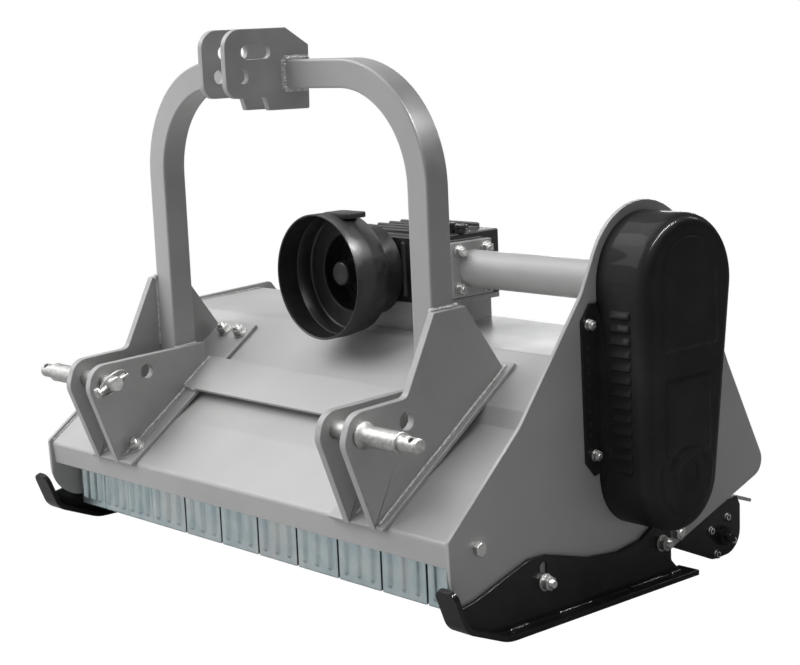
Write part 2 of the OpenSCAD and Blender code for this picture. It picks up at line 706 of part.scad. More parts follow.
module cover_bracket() color([0.1, 0.1, 0.11]) difference() {
    along_x(right_edge, right_edge + 4) polygon(outline([
        [60, 186, 0], [88, 172, 0], [92, 200, 0], [92, 400, 0], [88, 412, 0], [62, 400, 0]
    ]));
    for (p = COVER_BOLTS)
        bar_x(right_edge - 1, right_edge + 5, p[0], p[1], 8.4);
}

// Bolts of the cover strip and of the gearbox flange
module cover_bolts() color([0.75, 0.75, 0.72]) {
    for (p = COVER_BOLTS) {
        bar_x(right_in - 8, right_edge + 6, p[0], p[1], 8);
        bar_x(right_edge + 4, right_edge + 5.6, p[0], p[1], 17);
        hex_x(right_edge + 5, right_edge + 11, p[0], p[1], 13);
        hex_x(right_in - 7, right_in, p[0], p[1], 13);
    }
    for (y = [-28, 28], z = [-28, 28]) {
        bar_x(flange_x - 22, flange_x + 11, drive_y + y, drive_z + z, 10);
        hex_x(flange_x + 10.02, flange_x + 17, drive_y + y, drive_z + z, 16);
    }
}

// Rotor

function hammer_x(i) = left_in + 15 + (i - 0.5) * hammer_pitch;
function hammer_y(i) = rotor_y + (i % 2 == 0 ? 1 : -1) * hammer_pin_r;
lug_t = 8;
lug_gap = 30;
stub_reach = 30;

module rotor() color([0.3, 0.31, 0.33]) difference() {
    union() {
        bar_x(left_in + 6, right_in - 6, rotor_y, rotor_z, rotor_d);
        bar_x(-left_edge - stub_reach, pulley_x + pulley_w + 4, rotor_y, rotor_z, stub_d - 2 * fit);
        for (i = [1 : hammer_count])
            for (k = [-1, 1])
                translate([hammer_x(i) + k * (lug_gap + lug_t) / 2 - lug_t / 2, 0, 0]) lug(i);
        for (i = [1 : hammer_count])
            bar_x(hammer_x(i) - lug_gap / 2 - lug_t - 5, hammer_x(i) + lug_gap / 2 + lug_t + 5, hammer_y(i), rotor_z, hammer_pin_d);
    }
    for (x = [left_in + 14, 0])
        bar_x(x, x == 0 ? right_in - 14 : -8, rotor_y, rotor_z, rotor_d - 2 * rotor_wall);
}

// Lug plate that carries a hammer pin
module lug(i) along_x(0, lug_t) polygon(outline([
    [rotor_y, rotor_z - 34, 0],
    [hammer_y(i) + (hammer_y(i) - rotor_y) * 0.2, rotor_z - 14, 12],
    [hammer_y(i) + (hammer_y(i) - rotor_y) * 0.2, rotor_z + 14, 12],
    [rotor_y, rotor_z + 34, 0]
]));

// Hammer: an eye between the lugs and a wide cutting foot
module hammer(i) color([0.33, 0.33, 0.34]) translate([hammer_x(i), hammer_y(i), rotor_z]) difference() {
    union() {
        translate([-lug_gap / 2 + 1, 0, 0]) rotate([0, 90, 0]) cylinder(h = lug_gap - 2, r = 13);
        translate([-lug_gap / 2 + 1, -7, -30]) cube([lug_gap - 2, 14, 26]);
        translate([0, 0, -hammer_l]) rotate([90, 0, 90]) translate([0, 0, -hammer_w / 2]) linear_extrude(hammer_w)
            polygon([[-12, 0], [12, 0], [12, 8], [7, 36], [-7, 36], [-12, 8]]);
    }
    translate([-lug_gap / 2, 0, 0]) rotate([0, 90, 0]) cylinder(h = lug_gap, d = hammer_pin_d + 2 * fit);
    for (x = [-hammer_w / 2 - 1, lug_gap / 2 - 1])
        translate([x, -20, -hammer_l + 24]) cube([hammer_w / 2 - lug_gap / 2 + 2, 40, 20]);
}

module left_rotor_bearing() mirror([1, 0, 0]) rotor_bearing_out(left_edge, 26);

module right_rotor_bearing() rotor_bearing_out(right_edge, 22);

// Bearing unit on the outer face of a side plate
module rotor_bearing_out(x, depth) color([0.2, 0.2, 0.21]) difference() {
    union() {
        bar_x(x, x + 10, rotor_y, rotor_z, 104);
        bar_x(x, x + depth, rotor_y, rotor_z, 66);
        for (a = [45 : 90 : 315])
            hex_x(x + 9, x + 16, rotor_y + 42 * cos(a), rotor_z + 42 * sin(a), 13);
    }
    bar_x(x - 1, x + depth + 1, rotor_y, rotor_z, stub_d);
}

// Rear roller

arm_face = right_in - gap;
left_arm_face = -left_in - gap;

// Closed tube with a stub axle welded to each end
module rear_roller() color([0.12, 0.12, 0.12]) {
    end_gap = web_t + 3;
    difference() {
        union() {
            bar_x(-left_arm_face + end_gap, arm_face - end_gap, roller_y, roller_z, roller_d);
            bar_x(-left_arm_face - 1, arm_face + 1, roller_y, roller_z, axle_d - 2 * fit);
        }
        bar_x(-left_arm_face + end_gap + 8, arm_face - end_gap - 8, roller_y, roller_z, roller_d - 2 * roller_wall);
    }
}

arm_bolt_r = 28;

// Swinging arm with its outer face at x, the four bolts of the roller bearing and its cap nut
module roller_arm(x) difference() {
    union() {
        along_x(x - web_t, x) polygon(outline([
            [arm_y - 16, arm_z - 16, 12], [336, 1, 8], [400, 1, 34],
            [401, 70, 2], [394, 84, 2], [arm_y - 16, arm_z + 16, 14]
        ]));
        for (a = [64 : 90 : 334])
            bar_x(x - 1, x + 3.5, roller_y + arm_bolt_r * cos(a), roller_z + arm_bolt_r * sin(a), 12);
        hex_x(x - 1, x + 8, roller_y, roller_z, 24);
        bar_x(x + 7, x + 18, roller_y, roller_z, 15);
    }
    bar_x(x - web_t - 1, x + 5, roller_y, roller_z, axle_d);
    bar_x(x - web_t - 1, x + 1, arm_y, arm_z, bolt_d + 2 * fit);
}

module left_roller_arm() color([0.1, 0.1, 0.11]) mirror([1, 0, 0]) roller_arm(left_arm_face);

module right_roller_arm() color([0.1, 0.1, 0.11]) roller_arm(arm_face);

// Bent strip between the roller arms that keeps the roller clean
module roller_crossbar() color([0.7, 0.7, 0.69])
    along_x(-left_arm_face + web_t, arm_face - web_t)
        polygon(sheet(path([[368, 76, 0], [400, 83, 6], [436, 70, 0]]), -5));

// Skids

slot_w = bolt_d + 2.4;
runner_in = 13;
runner_out = 24;
runner_knee = [-186, 30];
runner_tip = [-208, 87];
tip_turn = atan2(runner_knee[0] - runner_tip[0], runner_tip[1] - runner_knee[1]);
tip_r = 14;
runner_outline = sheet(path([[268, 0, 0], [-112, 0, 70], [each runner_knee, 30], [each runner_tip, 0]]), -runner_t);

// What the round corner of a runner's tip takes away; side is +1 at the edge towards +X
module tip_corner(x, side) translate([x, runner_tip[0], runner_tip[1]]) rotate([tip_turn, 0, 0]) difference() {
    translate([side > 0 ? -tip_r : -1, -1, -tip_r]) cube([tip_r + 1, runner_t + 2, tip_r + 4]);
    translate([-side * tip_r, runner_t + 2, -tip_r]) rotate([90, 0, 0]) cylinder(h = runner_t + 4, r = tip_r);
}

// Web outside the side plate with a turned-up runner under it
module skid(x_plate) color([0.1, 0.1, 0.11]) difference() {
    union() {
        along_x(x_plate + gap, x_plate + gap + web_t) polygon(outline([
            [-189, 48, 0], [-181, 34, 0], [-140, 15.6, 0], [-113, 5.6, 0], [250, 6, 0], [229, 28, 6], [229, 86, 8],
            [194, 86, 8], [165, 70, 20], [120, 64, 20], [60, 70, 20], [-20, 92, 12], [-54, 93, 16], [-150, 62, 20],
            [-191, 54, 0]
        ]));
        along_x(x_plate - runner_in, x_plate + runner_out) polygon(runner_outline);
    }
    tip_corner(x_plate - runner_in, -1);
    tip_corner(x_plate + runner_out, 1);
    bar_x(x_plate, x_plate + 20, skid_y, skid_z, bolt_d + 2 * fit);
    for (z = [skid_z, skid_z + skid_travel])
        bar_x(x_plate, x_plate + 20, -skid_front_y, z, slot_w);
    translate([x_plate, -skid_front_y - slot_w / 2, skid_z]) cube([20, slot_w, skid_travel]);
}

module right_skid() skid(right_edge);

module left_skid() mirror([1, 0, 0]) skid(left_edge);

// Bolts that hold the skids and carry the roller arms
module skid_bolts() color([0.75, 0.75, 0.72]) {
    skid_bolt_set(right_edge);
    mirror([1, 0, 0]) skid_bolt_set(left_edge);
}

module skid_bolt_set(x) {
    out = x + web_t + 2 * gap;
    for (p = [[-skid_front_y, skid_z], [skid_y, skid_z]]) {
        bar_x(x - side_t - 8, out + 5, p[0], p[1], bolt_d);
        bar_x(out, out + 2, p[0], p[1], 24);
        hex_x(out + 1.5, out + 9, p[0], p[1], 19);
        hex_x(x - side_t - 8, x - side_t, p[0], p[1], 19);
    }
    bar_x(x - side_t - web_t - 8, x + 6, arm_y, arm_z, bolt_d);
    hex_x(x, x + 7, arm_y, arm_z, 17);
    hex_x(x - side_t - web_t - 8, x - side_t - web_t - 2 * gap, arm_y, arm_z, 17);
}

// Half the reach across the machine and from the lynch pin's ring to the heels of the side plates
mid_x = (right_edge + cover_depth - left_edge - stub_reach) / 2;
front_reach = 32; // the lynch pin's ring ahead of the hitch pins
mid_y = (max([for (p = right_outline) p[0]]) - pin_y - front_reach) / 2;

// Everything above is drawn from the hitch centre; the origin is the middle of the footprint
module place() translate([-mid_x, -mid_y, 0]) children();

place() deck_shell();
place() left_side_plate();
place() right_side_plate();
place() flap_rod();
for (i = [1 : flap_count]) place() flap(i);
place() hitch_bracket(-1);  // left_hitch_bracket
place() hitch_bracket(1);  // right_hitch_bracket
place() hitch_crossbar();
place() mast_tube(-1);  // left_mast_tube
place() mast_tube(1);  // right_mast_tube
place() link_plate(-1);  // left_link_plate
place() link_plate(1);  // right_link_plate
place() hitch_pin(-1);  // left_hitch_pin
place() hitch_pin(1);  // right_hitch_pin
place() lynch_pin();
place() hitch_bolts();
place() gearbox_housing();
place() gearbox_stand();
place() gearbox_plugs();
place() gearbox_bearings();
place() pto_guard();
place() input_shaft();
place() cross_shaft();
place() drive_tube();
place() upper_pulley();
place() lower_pulley();
place() drive_belts();
place() belt_cover();
place() cover_bracket();
place() cover_bolts();
place() rotor();
for (i = [1 : hammer_count]) place() hammer(i);
place() left_rotor_bearing();
place() right_rotor_bearing();
place() rear_roller();
place() left_roller_arm();
place() right_roller_arm();
place() roller_crossbar();
place() left_skid();
place() right_skid();
place() skid_bolts();
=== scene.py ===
# %% [markdown]
# # Dressing a flail mower
#
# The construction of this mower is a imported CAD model: plates, tubes, pins, gears and everything
# that turns. This lesson puts the finish of the real machine on it. Most sheet pieces keep their CAD
# shape and only get the soft edges of rolled and cut steel, and a few pieces, such as the pressed
# belt cover and the hanging flaps, are modelled again with more detail.

# %% Load the construction
import json
import math

import bmesh
import bpy
from mathutils import Matrix, Vector


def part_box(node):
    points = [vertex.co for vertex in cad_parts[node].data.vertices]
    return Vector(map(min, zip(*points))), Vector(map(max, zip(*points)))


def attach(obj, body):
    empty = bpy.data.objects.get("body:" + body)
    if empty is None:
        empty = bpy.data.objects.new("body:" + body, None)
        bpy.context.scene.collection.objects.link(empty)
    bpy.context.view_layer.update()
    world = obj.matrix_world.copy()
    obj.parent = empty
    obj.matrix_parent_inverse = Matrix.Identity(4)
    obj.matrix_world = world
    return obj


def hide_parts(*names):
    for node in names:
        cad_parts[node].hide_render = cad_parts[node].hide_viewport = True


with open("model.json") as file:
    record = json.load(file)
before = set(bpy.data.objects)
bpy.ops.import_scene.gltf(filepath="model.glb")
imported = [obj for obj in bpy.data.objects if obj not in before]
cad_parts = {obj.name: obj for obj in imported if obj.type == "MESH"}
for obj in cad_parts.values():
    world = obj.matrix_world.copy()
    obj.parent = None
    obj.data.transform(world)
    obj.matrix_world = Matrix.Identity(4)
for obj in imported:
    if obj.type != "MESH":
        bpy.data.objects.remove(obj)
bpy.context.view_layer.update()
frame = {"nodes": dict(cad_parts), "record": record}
NODES = frame["nodes"]
print("construction:", len(NODES), "nodes")

# %% [markdown]
# Workshop drawings of a tractor implement measure from the middle of its hitch. The model's origin is
# the middle of the footprint instead, so one matrix carries drawing millimetres into scene metres.
# Every new piece is drawn in drawing millimetres and passes through it once, at the end.

# %% Drawing units
MM = 0.001
HITCH = Vector((-0.019, -0.102618, 0.0))
TO_SCENE = Matrix.Translation(HITCH) @ Matrix.Scale(MM, 4)
QUARTER_X = Matrix.Rotation(math.radians(90), 4, "X")
QUARTER_Y = Matrix.Rotation(math.radians(90), 4, "Y")
SLOPE = math.radians(35.5)
LIP_Y, LIP_Z = -186, 140
LEFT, RIGHT = -480, 462
SHEET = 6
SHAFT_Z, CROSS_SHAFT_Y = 421, 189


def on_slope(x, s, h=0.0):
    """Point s mm up the tilted deck plane from its front bend, h mm off it."""
    return Vector((x, LIP_Y + s * math.cos(SLOPE) - h * math.sin(SLOPE),
                   LIP_Z + s * math.sin(SLOPE) + h * math.cos(SLOPE)))


print("hitch centre in the scene:", tuple(HITCH))

# %% [markdown]
# The photograph fixes where the camera stood. Its place, tilt and lens were worked out beforehand
# from edges and hole centres that have known sizes, and are written here as plain numbers.

# %% Camera
CAMERA_AT = Vector((2069.9, -1686.2, 778.9))
YAW, PITCH, ROLL = math.radians(48.3263), math.radians(-9.4801), math.radians(-2.4904)
LENS, SENSOR = 82.36, 36


def camera_matrix():
    """World matrix of a camera that looks along yaw and pitch and is turned by roll."""
    ahead = Vector((-math.sin(YAW) * math.cos(PITCH), math.cos(YAW) * math.cos(PITCH), math.sin(PITCH)))
    level = Vector((math.cos(YAW), math.sin(YAW), 0))
    upright = level.cross(ahead)
    right = math.cos(ROLL) * level + math.sin(ROLL) * upright
    up = -math.sin(ROLL) * level + math.cos(ROLL) * upright
    turn = Matrix((right, up, -ahead)).transposed().to_4x4()
    return Matrix.Translation(TO_SCENE @ CAMERA_AT) @ turn


camera = bpy.data.objects.new("photo_camera", bpy.data.cameras.new("photo_camera"))
bpy.context.scene.collection.objects.link(camera)
camera.matrix_world = camera_matrix()
camera.data.sensor_fit = "HORIZONTAL"
camera.data.sensor_width = SENSOR
camera.data.lens = LENS
camera.data.clip_end = 200
bpy.context.scene.camera = camera
print("camera at", tuple(round(v, 3) for v in camera.location))

# %% [markdown]
# A finish is a small network of nodes. The helpers below add one node each and return its output, so
# that a finish reads from the coarse pattern down to the fine one. All patterns read object
# coordinates: every piece sits unturned at the origin, so a pattern stays fixed to its piece.

# %% Helpers for finishes
class Finish:
    """One material with its shader and the nodes that feed it."""

    def __init__(self, name, colour, roughness, metallic=0.0):
        self.material = bpy.data.materials.new(name)
        self.material.use_nodes = True
        self.tree = self.material.node_tree
        self.shader = self.tree.nodes["Principled BSDF"]
        self.shader.inputs["Base Color"].default_value = (*colour, 1)
        self.shader.inputs["Roughness"].default_value = roughness
        self.shader.inputs["Metallic"].default_value = metallic
        self.point = self.tree.nodes.new("ShaderNodeTexCoord").outputs["Object"]

    def add(self, kind, **values):
        node = self.tree.nodes.new(kind)
        for key, value in values.items():
            if isinstance(value, bpy.types.NodeSocket):
                self.tree.links.new(value, node.inputs[key])
            else:
                node.inputs[key].default_value = value
        return node

    def feed(self, output, name):
        self.tree.links.new(output, self.shader.inputs[name])

    def noise(self, size_mm, detail=3.0, roughness=0.55, stretch=(1, 1, 1)):
        """Cloudy pattern with blobs of about size_mm, stretched along the axes."""
        place = self.add("ShaderNodeMapping", Vector=self.point)
        place.inputs["Scale"].default_value = tuple(1 / s for s in stretch)
        node = self.add("ShaderNodeTexNoise", Vector=place.outputs[0], Scale=1000 / size_mm,
                        Detail=detail, Roughness=roughness)
        return node.outputs["Fac"]

    def spread(self, value, low, high, to_low, to_high):
        """Maps a value from one range to another, clamped."""
        node = self.add("ShaderNodeMapRange", Value=value)
        for key, number in (("From Min", low), ("From Max", high), ("To Min", to_low), ("To Max", to_high)):
            node.inputs[key].default_value = number
        return node.outputs[0]

    def blend(self, factor, first, second):
        """Colour between first and second."""
        node = self.tree.nodes.new("ShaderNodeMix")
        node.data_type = "RGBA"
        self.tree.links.new(factor, node.inputs["Factor"])
        for socket, colour in ((node.inputs[6], first), (node.inputs[7], second)):
            if isinstance(colour, bpy.types.NodeSocket):
                self.tree.links.new(colour, socket)
            else:
                socket.default_value = (*colour, 1)
        return node.outputs[2]

    def height(self, value, depth_mm, strength=1.0):
        """Fine relief of a given depth; several calls lie on top of each other."""
        node = self.add("ShaderNodeBump", Height=value, Strength=strength, Distance=depth_mm * MM)
        normal = self.shader.inputs["Normal"]
        if normal.is_linked:
            self.tree.links.new(normal.links[0].from_socket, node.inputs["Normal"])
        self.feed(node.outputs[0], "Normal")


def grey(value):
    return (value, value, value * 0.985)


print("helpers ready")

# %% [markdown]
# The frame is sprayed with light grey enamel. Sprayed enamel is never one flat grey: it is a little
# thicker in places, has a fine orange-peel skin, and its gloss changes from area to area. Three
# noises of different size give that without any image.

# %% Grey enamel
def grey_enamel(name, tone, dirt=0.0):
    paint = Finish(name, grey(tone), 0.42)
    broad = paint.spread(paint.noise(170), 0.3, 0.7, 0, 1)
    colour = paint.blend(broad, grey(tone * 0.94), grey(tone * 1.05))
    speck = paint.spread(paint.noise(2.2, 2), 0.68, 0.76, 0, 0.35)
    colour = paint.blend(speck, colour, grey(tone * 1.35))
    if dirt:
        grime = paint.spread(paint.noise(38, 6, 0.7), 0.5, 0.8, 0, dirt)
        colour = paint.blend(grime, colour, (tone * 0.62, tone * 0.6, tone * 0.56))
    paint.feed(colour, "Base Color")
    paint.feed(paint.spread(paint.noise(60, 4), 0.3, 0.7, 0.34, 0.5), "Roughness")
    paint.height(paint.noise(3.2, 2), 0.05, 0.5)
    paint.height(paint.noise(45, 2), 0.5, 0.35)
    return paint.material


ENAMEL = grey_enamel("grey_enamel", 0.44)
ENAMEL_USED = grey_enamel("grey_enamel_handled", 0.40, 0.25)
# The mast tubes get a darker copy of the same enamel: painted shade that dims them.
ENAMEL_SHADED_TUBE = grey_enamel("grey_enamel_painted_shade", 0.40)
print("enamel:", ENAMEL.name, ENAMEL_USED.name, ENAMEL_SHADED_TUBE.name)

# %% [markdown]
# Weld seams are painted over with the frame, and the paint lies thin and shiny on the ripples. Their
# colour is also lighter and patchy beside the plates: a painted highlight for the light the seams catch.

# %% Weld paint with painted highlight
def weld_with_painted_highlight():
    # Lighter grey than the enamel, with light patches: painted highlight on the beads.
    seam = Finish("weld_with_painted_highlight", grey(0.55), 0.3)
    painted_sheen_mask = seam.spread(seam.noise(5, 4), 0.35, 0.7, 0, 1)
    seam.feed(seam.blend(painted_sheen_mask, grey(0.42), grey(0.75)), "Base Color")
    seam.height(seam.noise(2.5, 4, 0.7), 0.8, 0.8)
    return seam.material


def black_weld():
    seam = Finish("black_weld", grey(0.02), 0.22)
    seam.height(seam.noise(2.5, 4, 0.7), 0.8, 0.9)
    return seam.material


WELD = weld_with_painted_highlight()
WELD_BLACK = black_weld()

# %% [markdown]
# Cover, skids and roller arms are powder coated black. Powder melts into a deep, even gloss with a
# slightly wavy skin, so it gets a clear coat and a long soft relief.

# %% Black powder coat
def powder_black(name, tone, roughness, gloss, wear=0.0):
    coat = Finish(name, grey(tone), roughness)
    colour = coat.blend(coat.spread(coat.noise(90, 4), 0.35, 0.7, 0, 1), grey(tone * 0.8), grey(tone * 1.3))
    if wear:
        rub = coat.spread(coat.noise(16, 7, 0.75), 0.62, 0.75, 0, wear)
        colour = coat.blend(rub, colour, grey(tone * 6))
    coat.feed(colour, "Base Color")
    coat.feed(coat.spread(coat.noise(25, 5), 0.3, 0.7, roughness - 0.06, roughness + 0.08), "Roughness")
    coat.shader.inputs["Specular IOR Level"].default_value = 0.03
    coat.shader.inputs["Coat Weight"].default_value = gloss
    coat.shader.inputs["Coat Roughness"].default_value = 0.05
    coat.height(coat.noise(2.4, 2), 0.04, 0.5)
    coat.height(coat.noise(30, 2), 0.4, 0.3)
    return coat.material


COVER_BLACK = powder_black("cover_black", 0.026, 0.42, 0.1)
SKID_BLACK = powder_black("skid_black", 0.026, 0.42, 0.3, 0.25)

# %% [markdown]
# The input guard is moulded plastic: no clear coat, a broad soft sheen, and pale scuffs where it has
# been handled.

# %% Moulded plastic
def moulded_plastic():
    plastic = Finish("moulded_plastic", grey(0.02), 0.38)
    cloud = plastic.spread(plastic.noise(40, 6, 0.65), 0.35, 0.7, 0, 1)
    colour = plastic.blend(cloud, grey(0.014), grey(0.03))
    scuff = plastic.spread(plastic.noise(7, 8, 0.8, (3, 1, 1)), 0.66, 0.74, 0, 0.5)
    plastic.feed(plastic.blend(scuff, colour, grey(0.16)), "Base Color")
    plastic.feed(plastic.spread(plastic.noise(12, 5), 0.3, 0.7, 0.3, 0.5), "Roughness")
    plastic.height(plastic.noise(1.6, 2), 0.05, 0.5)
    return plastic.material


PLASTIC = moulded_plastic()

# %% [markdown]
# Castings keep the grain of the sand that they were poured in. Two reliefs, coarse and fine, stand
# for it under the black paint.

# %% Castings and forgings
def cast_skin(name, tone, roughness):
    cast = Finish(name, grey(tone), roughness)
    cast.feed(cast.blend(cast.spread(cast.noise(30, 5), 0.35, 0.7, 0, 1), grey(tone * 0.7), grey(tone * 1.4)),
              "Base Color")
    cast.height(cast.noise(1.4, 3), 0.15, 0.8)
    cast.height(cast.noise(9, 3), 0.5, 0.5)
    return cast.material


CAST_BLACK = cast_skin("cast_black", 0.016, 0.42)
FORGED = cast_skin("forged_steel", 0.09, 0.5)
FORGED.node_tree.nodes["Principled BSDF"].inputs["Metallic"].default_value = 0.6

# %% [markdown]
# The flaps are zinc plated and passivated, which leaves a blue-green cast with cloudy, slightly
# warmer patches.

# %% Zinc sheet
def passivated_zinc():
    zinc = Finish("passivated_zinc", (0.42, 0.5, 0.52), 0.3, 0.8)
    cloud = zinc.spread(zinc.noise(34, 3), 0.35, 0.68, 0, 0.8)
    colour = zinc.blend(cloud, (0.5, 0.6, 0.63), (0.68, 0.74, 0.73))
    warm = zinc.spread(zinc.noise(70, 2), 0.52, 0.72, 0, 0.5)
    colour = zinc.blend(warm, colour, (0.68, 0.65, 0.62))
    zinc.feed(colour, "Base Color")
    zinc.feed(zinc.spread(zinc.noise(20, 3), 0.3, 0.7, 0.28, 0.34), "Roughness")
    zinc.height(zinc.noise(30, 2), 0.4, 0.3)
    return zinc.material


ZINC = passivated_zinc()

# %% [markdown]
# Bolts, nuts and hitch pins are bright zinc, turned on a lathe or pressed. Their gloss is broken by
# tiny dents, so the relief is small and the roughness uneven.

# %% Bright fasteners and turned steel
def bright_metal(name, tone, roughness, tint=(1, 1, 0.97)):
    metal = Finish(name, tuple(tone * t for t in tint), roughness, 1.0)
    dull = tuple(tone * 0.75 * t for t in tint)
    bright = tuple(min(1, tone * 1.12) * t for t in tint)
    worn = metal.spread(metal.noise(6, 5), 0.35, 0.7, 0, 1)
    metal.feed(metal.blend(worn, dull, bright), "Base Color")
    metal.feed(metal.spread(metal.noise(3, 4), 0.3, 0.7, roughness - 0.1, roughness + 0.12), "Roughness")
    metal.height(metal.noise(1.8, 3), 0.05, 0.5)
    return metal.material


PLATED = bright_metal("bright_zinc", 0.45, 0.46)
STEEL = bright_metal("turned_steel", 0.55, 0.28, (1, 1, 1))
DARK_STEEL = cast_skin("oiled_steel", 0.02, 0.4)

# %% Rubber
def belt_rubber():
    rubber = Finish("belt_rubber", grey(0.02), 0.7)
    rubber.height(rubber.noise(0.9, 2), 0.1, 0.6)
    return rubber.material


RUBBER = belt_rubber()
# Near-black finish for the strips under the louvre lips: painted shadow.
LIP_SHADOW_BLACK = Finish("painted_lip_shadow", (0.002, 0.002, 0.002), 0.9).material
print("finishes:", len(bpy.data.materials))

# %% [markdown]
# CAD solids have knife-sharp edges, and nothing on a real machine does: sheared sheet, flame-cut
# plate and drawn tube all round over a little, and that thin round is what catches the light. Each
# visible solid is copied, its loose triangles are merged, flat triangles are joined, and a live Bevel
# modifier rounds every edge sharper than a limit. The CAD solid itself is left alone and hidden.
# The hitch brackets have broad flat faces with holes, so theirs are cut into triangles and stay flat
# shaded. Only the narrow facets of their holes and rounds are smooth.

# %% Piece helpers
def body_of_node(name):
    for body, members in frame["record"]["behaviour"]["bodies"].items():
        if name in members:
            return body
    raise ValueError(name)


def as_piece(name, mesh_data, material, body, stands_for=()):
    piece = bpy.data.objects.new(name, mesh_data)
    bpy.context.scene.collection.objects.link(piece)
    if material:
        mesh_data.materials.clear()
        mesh_data.materials.append(material)
    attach(piece, body)
    if stands_for:
        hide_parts(*stands_for)
    return piece


NARROW_FACET = 40 * MM * MM
SHARP_IN_NEW_PIECES = 35


def has_holed_faces(name):
    return "bracket" in name


def soft_edges(piece, width_mm, sharp=32, segments=2):
    """Rounds the edges of a piece that are sharper than an angle in degrees."""
    for polygon in piece.data.polygons:
        polygon.use_smooth = not has_holed_faces(piece.name) or polygon.area < NARROW_FACET
    rounding = piece.modifiers.new("soft_edges", "BEVEL")
    rounding.width = width_mm * MM
    rounding.segments = segments
    rounding.limit_method = "ANGLE"
    rounding.angle_limit = math.radians(sharp)
    rounding.use_clamp_overlap = False
    rounding.loop_slide = False
    rounding.miter_outer = "MITER_ARC"
    flatten = piece.modifiers.new("flat_faces", "WEIGHTED_NORMAL")
    flatten.weight = 90
    return piece


def copy_of_node(node):
    """Merged copy of a CAD node's mesh with its flat triangles joined."""
    bm = bmesh.new()
    bm.from_mesh(NODES[node].data)
    bmesh.ops.remove_doubles(bm, verts=bm.verts, dist=0.01 * MM)
    bmesh.ops.dissolve_limit(bm, angle_limit=math.radians(0.6), verts=bm.verts, edges=bm.edges,
                             use_dissolve_boundaries=False)
    if has_holed_faces(node):
        bmesh.ops.triangulate(bm, faces=bm.faces, ngon_method="BEAUTY")
    data = bpy.data.meshes.new(node + "_finished")
    bm.to_mesh(data)
    bm.free()
    return data


def finish_node(node, material, width_mm, sharp=32, segments=2):
    piece = as_piece(node + "_finished", copy_of_node(node), material, body_of_node(node),
                     [node])
    return soft_edges(piece, width_mm, sharp, segments)


def paint_node(node, material):
    """Gives a CAD node that keeps its own mesh a new finish."""
    NODES[node].data.materials.clear()
    NODES[node].data.materials.append(material)


def new_piece(name, bm, material, body, stands_for=(), smooth_below=SHARP_IN_NEW_PIECES):
    """Carries a bmesh from drawing millimetres into the scene and closes it."""
    bmesh.ops.remove_doubles(bm, verts=bm.verts, dist=0.005)
    bmesh.ops.recalc_face_normals(bm, faces=bm.faces)
    bmesh.ops.transform(bm, matrix=TO_SCENE, verts=bm.verts)
    data = bpy.data.meshes.new(name)
    bm.to_mesh(data)
    bm.free()
    data.shade_smooth()
    data.set_sharp_from_angle(angle=math.radians(smooth_below))
    return as_piece(name, data, material, body, stands_for)


print("piece helpers ready")

# %% Sheet and plate pieces
PLATES = {
    "deck_shell": (ENAMEL, 1.2),
    "left_side_plate": (ENAMEL, 1.2),
    "right_side_plate": (ENAMEL, 1.2),
    "left_hitch_bracket": (ENAMEL_USED, 1.0),
    "right_hitch_bracket": (ENAMEL_USED, 1.0),
    "hitch_crossbar": (ENAMEL, 0.8),
    "left_link_plate": (ENAMEL_USED, 1.0),
    "right_link_plate": (ENAMEL_USED, 1.0),
    # Mast tubes: the darker enamel copy, painted shade.
    "left_mast_tube": (ENAMEL_SHADED_TUBE, 3.5),
    "right_mast_tube": (ENAMEL_SHADED_TUBE, 3.5),
    "gearbox_stand": (ENAMEL, 1.0),
    "drive_tube": (ENAMEL, 1.0),
    "roller_crossbar": (ENAMEL, 0.6),
    "left_skid": (SKID_BLACK, 1.2),
    "right_skid": (SKID_BLACK, 1.2),
    "left_roller_arm": (SKID_BLACK, 0.8),
    "right_roller_arm": (SKID_BLACK, 0.8),
    "gearbox_housing": (CAST_BLACK, 2.5),
    "gearbox_plugs": (CAST_BLACK, 1.0),
    "left_rotor_bearing": (CAST_BLACK, 1.5),
    "right_rotor_bearing": (CAST_BLACK, 1.5),
    "rear_roller": (SKID_BLACK, 1.5),
    "flap_rod": (PLATED, 0.8),
}
for plate, (finish, width) in PLATES.items():
    finish_node(plate, finish, width)
for name, finish in {"gearbox_bearings": STEEL, "input_shaft": DARK_STEEL, "cross_shaft": STEEL,
                     "upper_pulley": CAST_BLACK, "lower_pulley": CAST_BLACK, "drive_belts": RUBBER,
                     "rotor": FORGED}.items():
    paint_node(name, finish)
HAMMERS = 8
for index in range(1, HAMMERS + 1):
    finish_node(f"hammer_{index:02d}", FORGED, 1.5)
print("plates with soft edges:", len(PLATES))

# %% [markdown]
# A weld bead is a row of overlapping puddles. It is drawn as one ring of eight corners that is
# extruded along the seam, where every ring is a little fatter or thinner than the one before.

# %% Weld beads
def ring_frame(at, along):
    """Matrix that lays a ring square to a direction at a point."""
    turn = along.to_track_quat("Z", "Y").to_matrix().to_4x4()
    return Matrix.Translation(at) @ turn


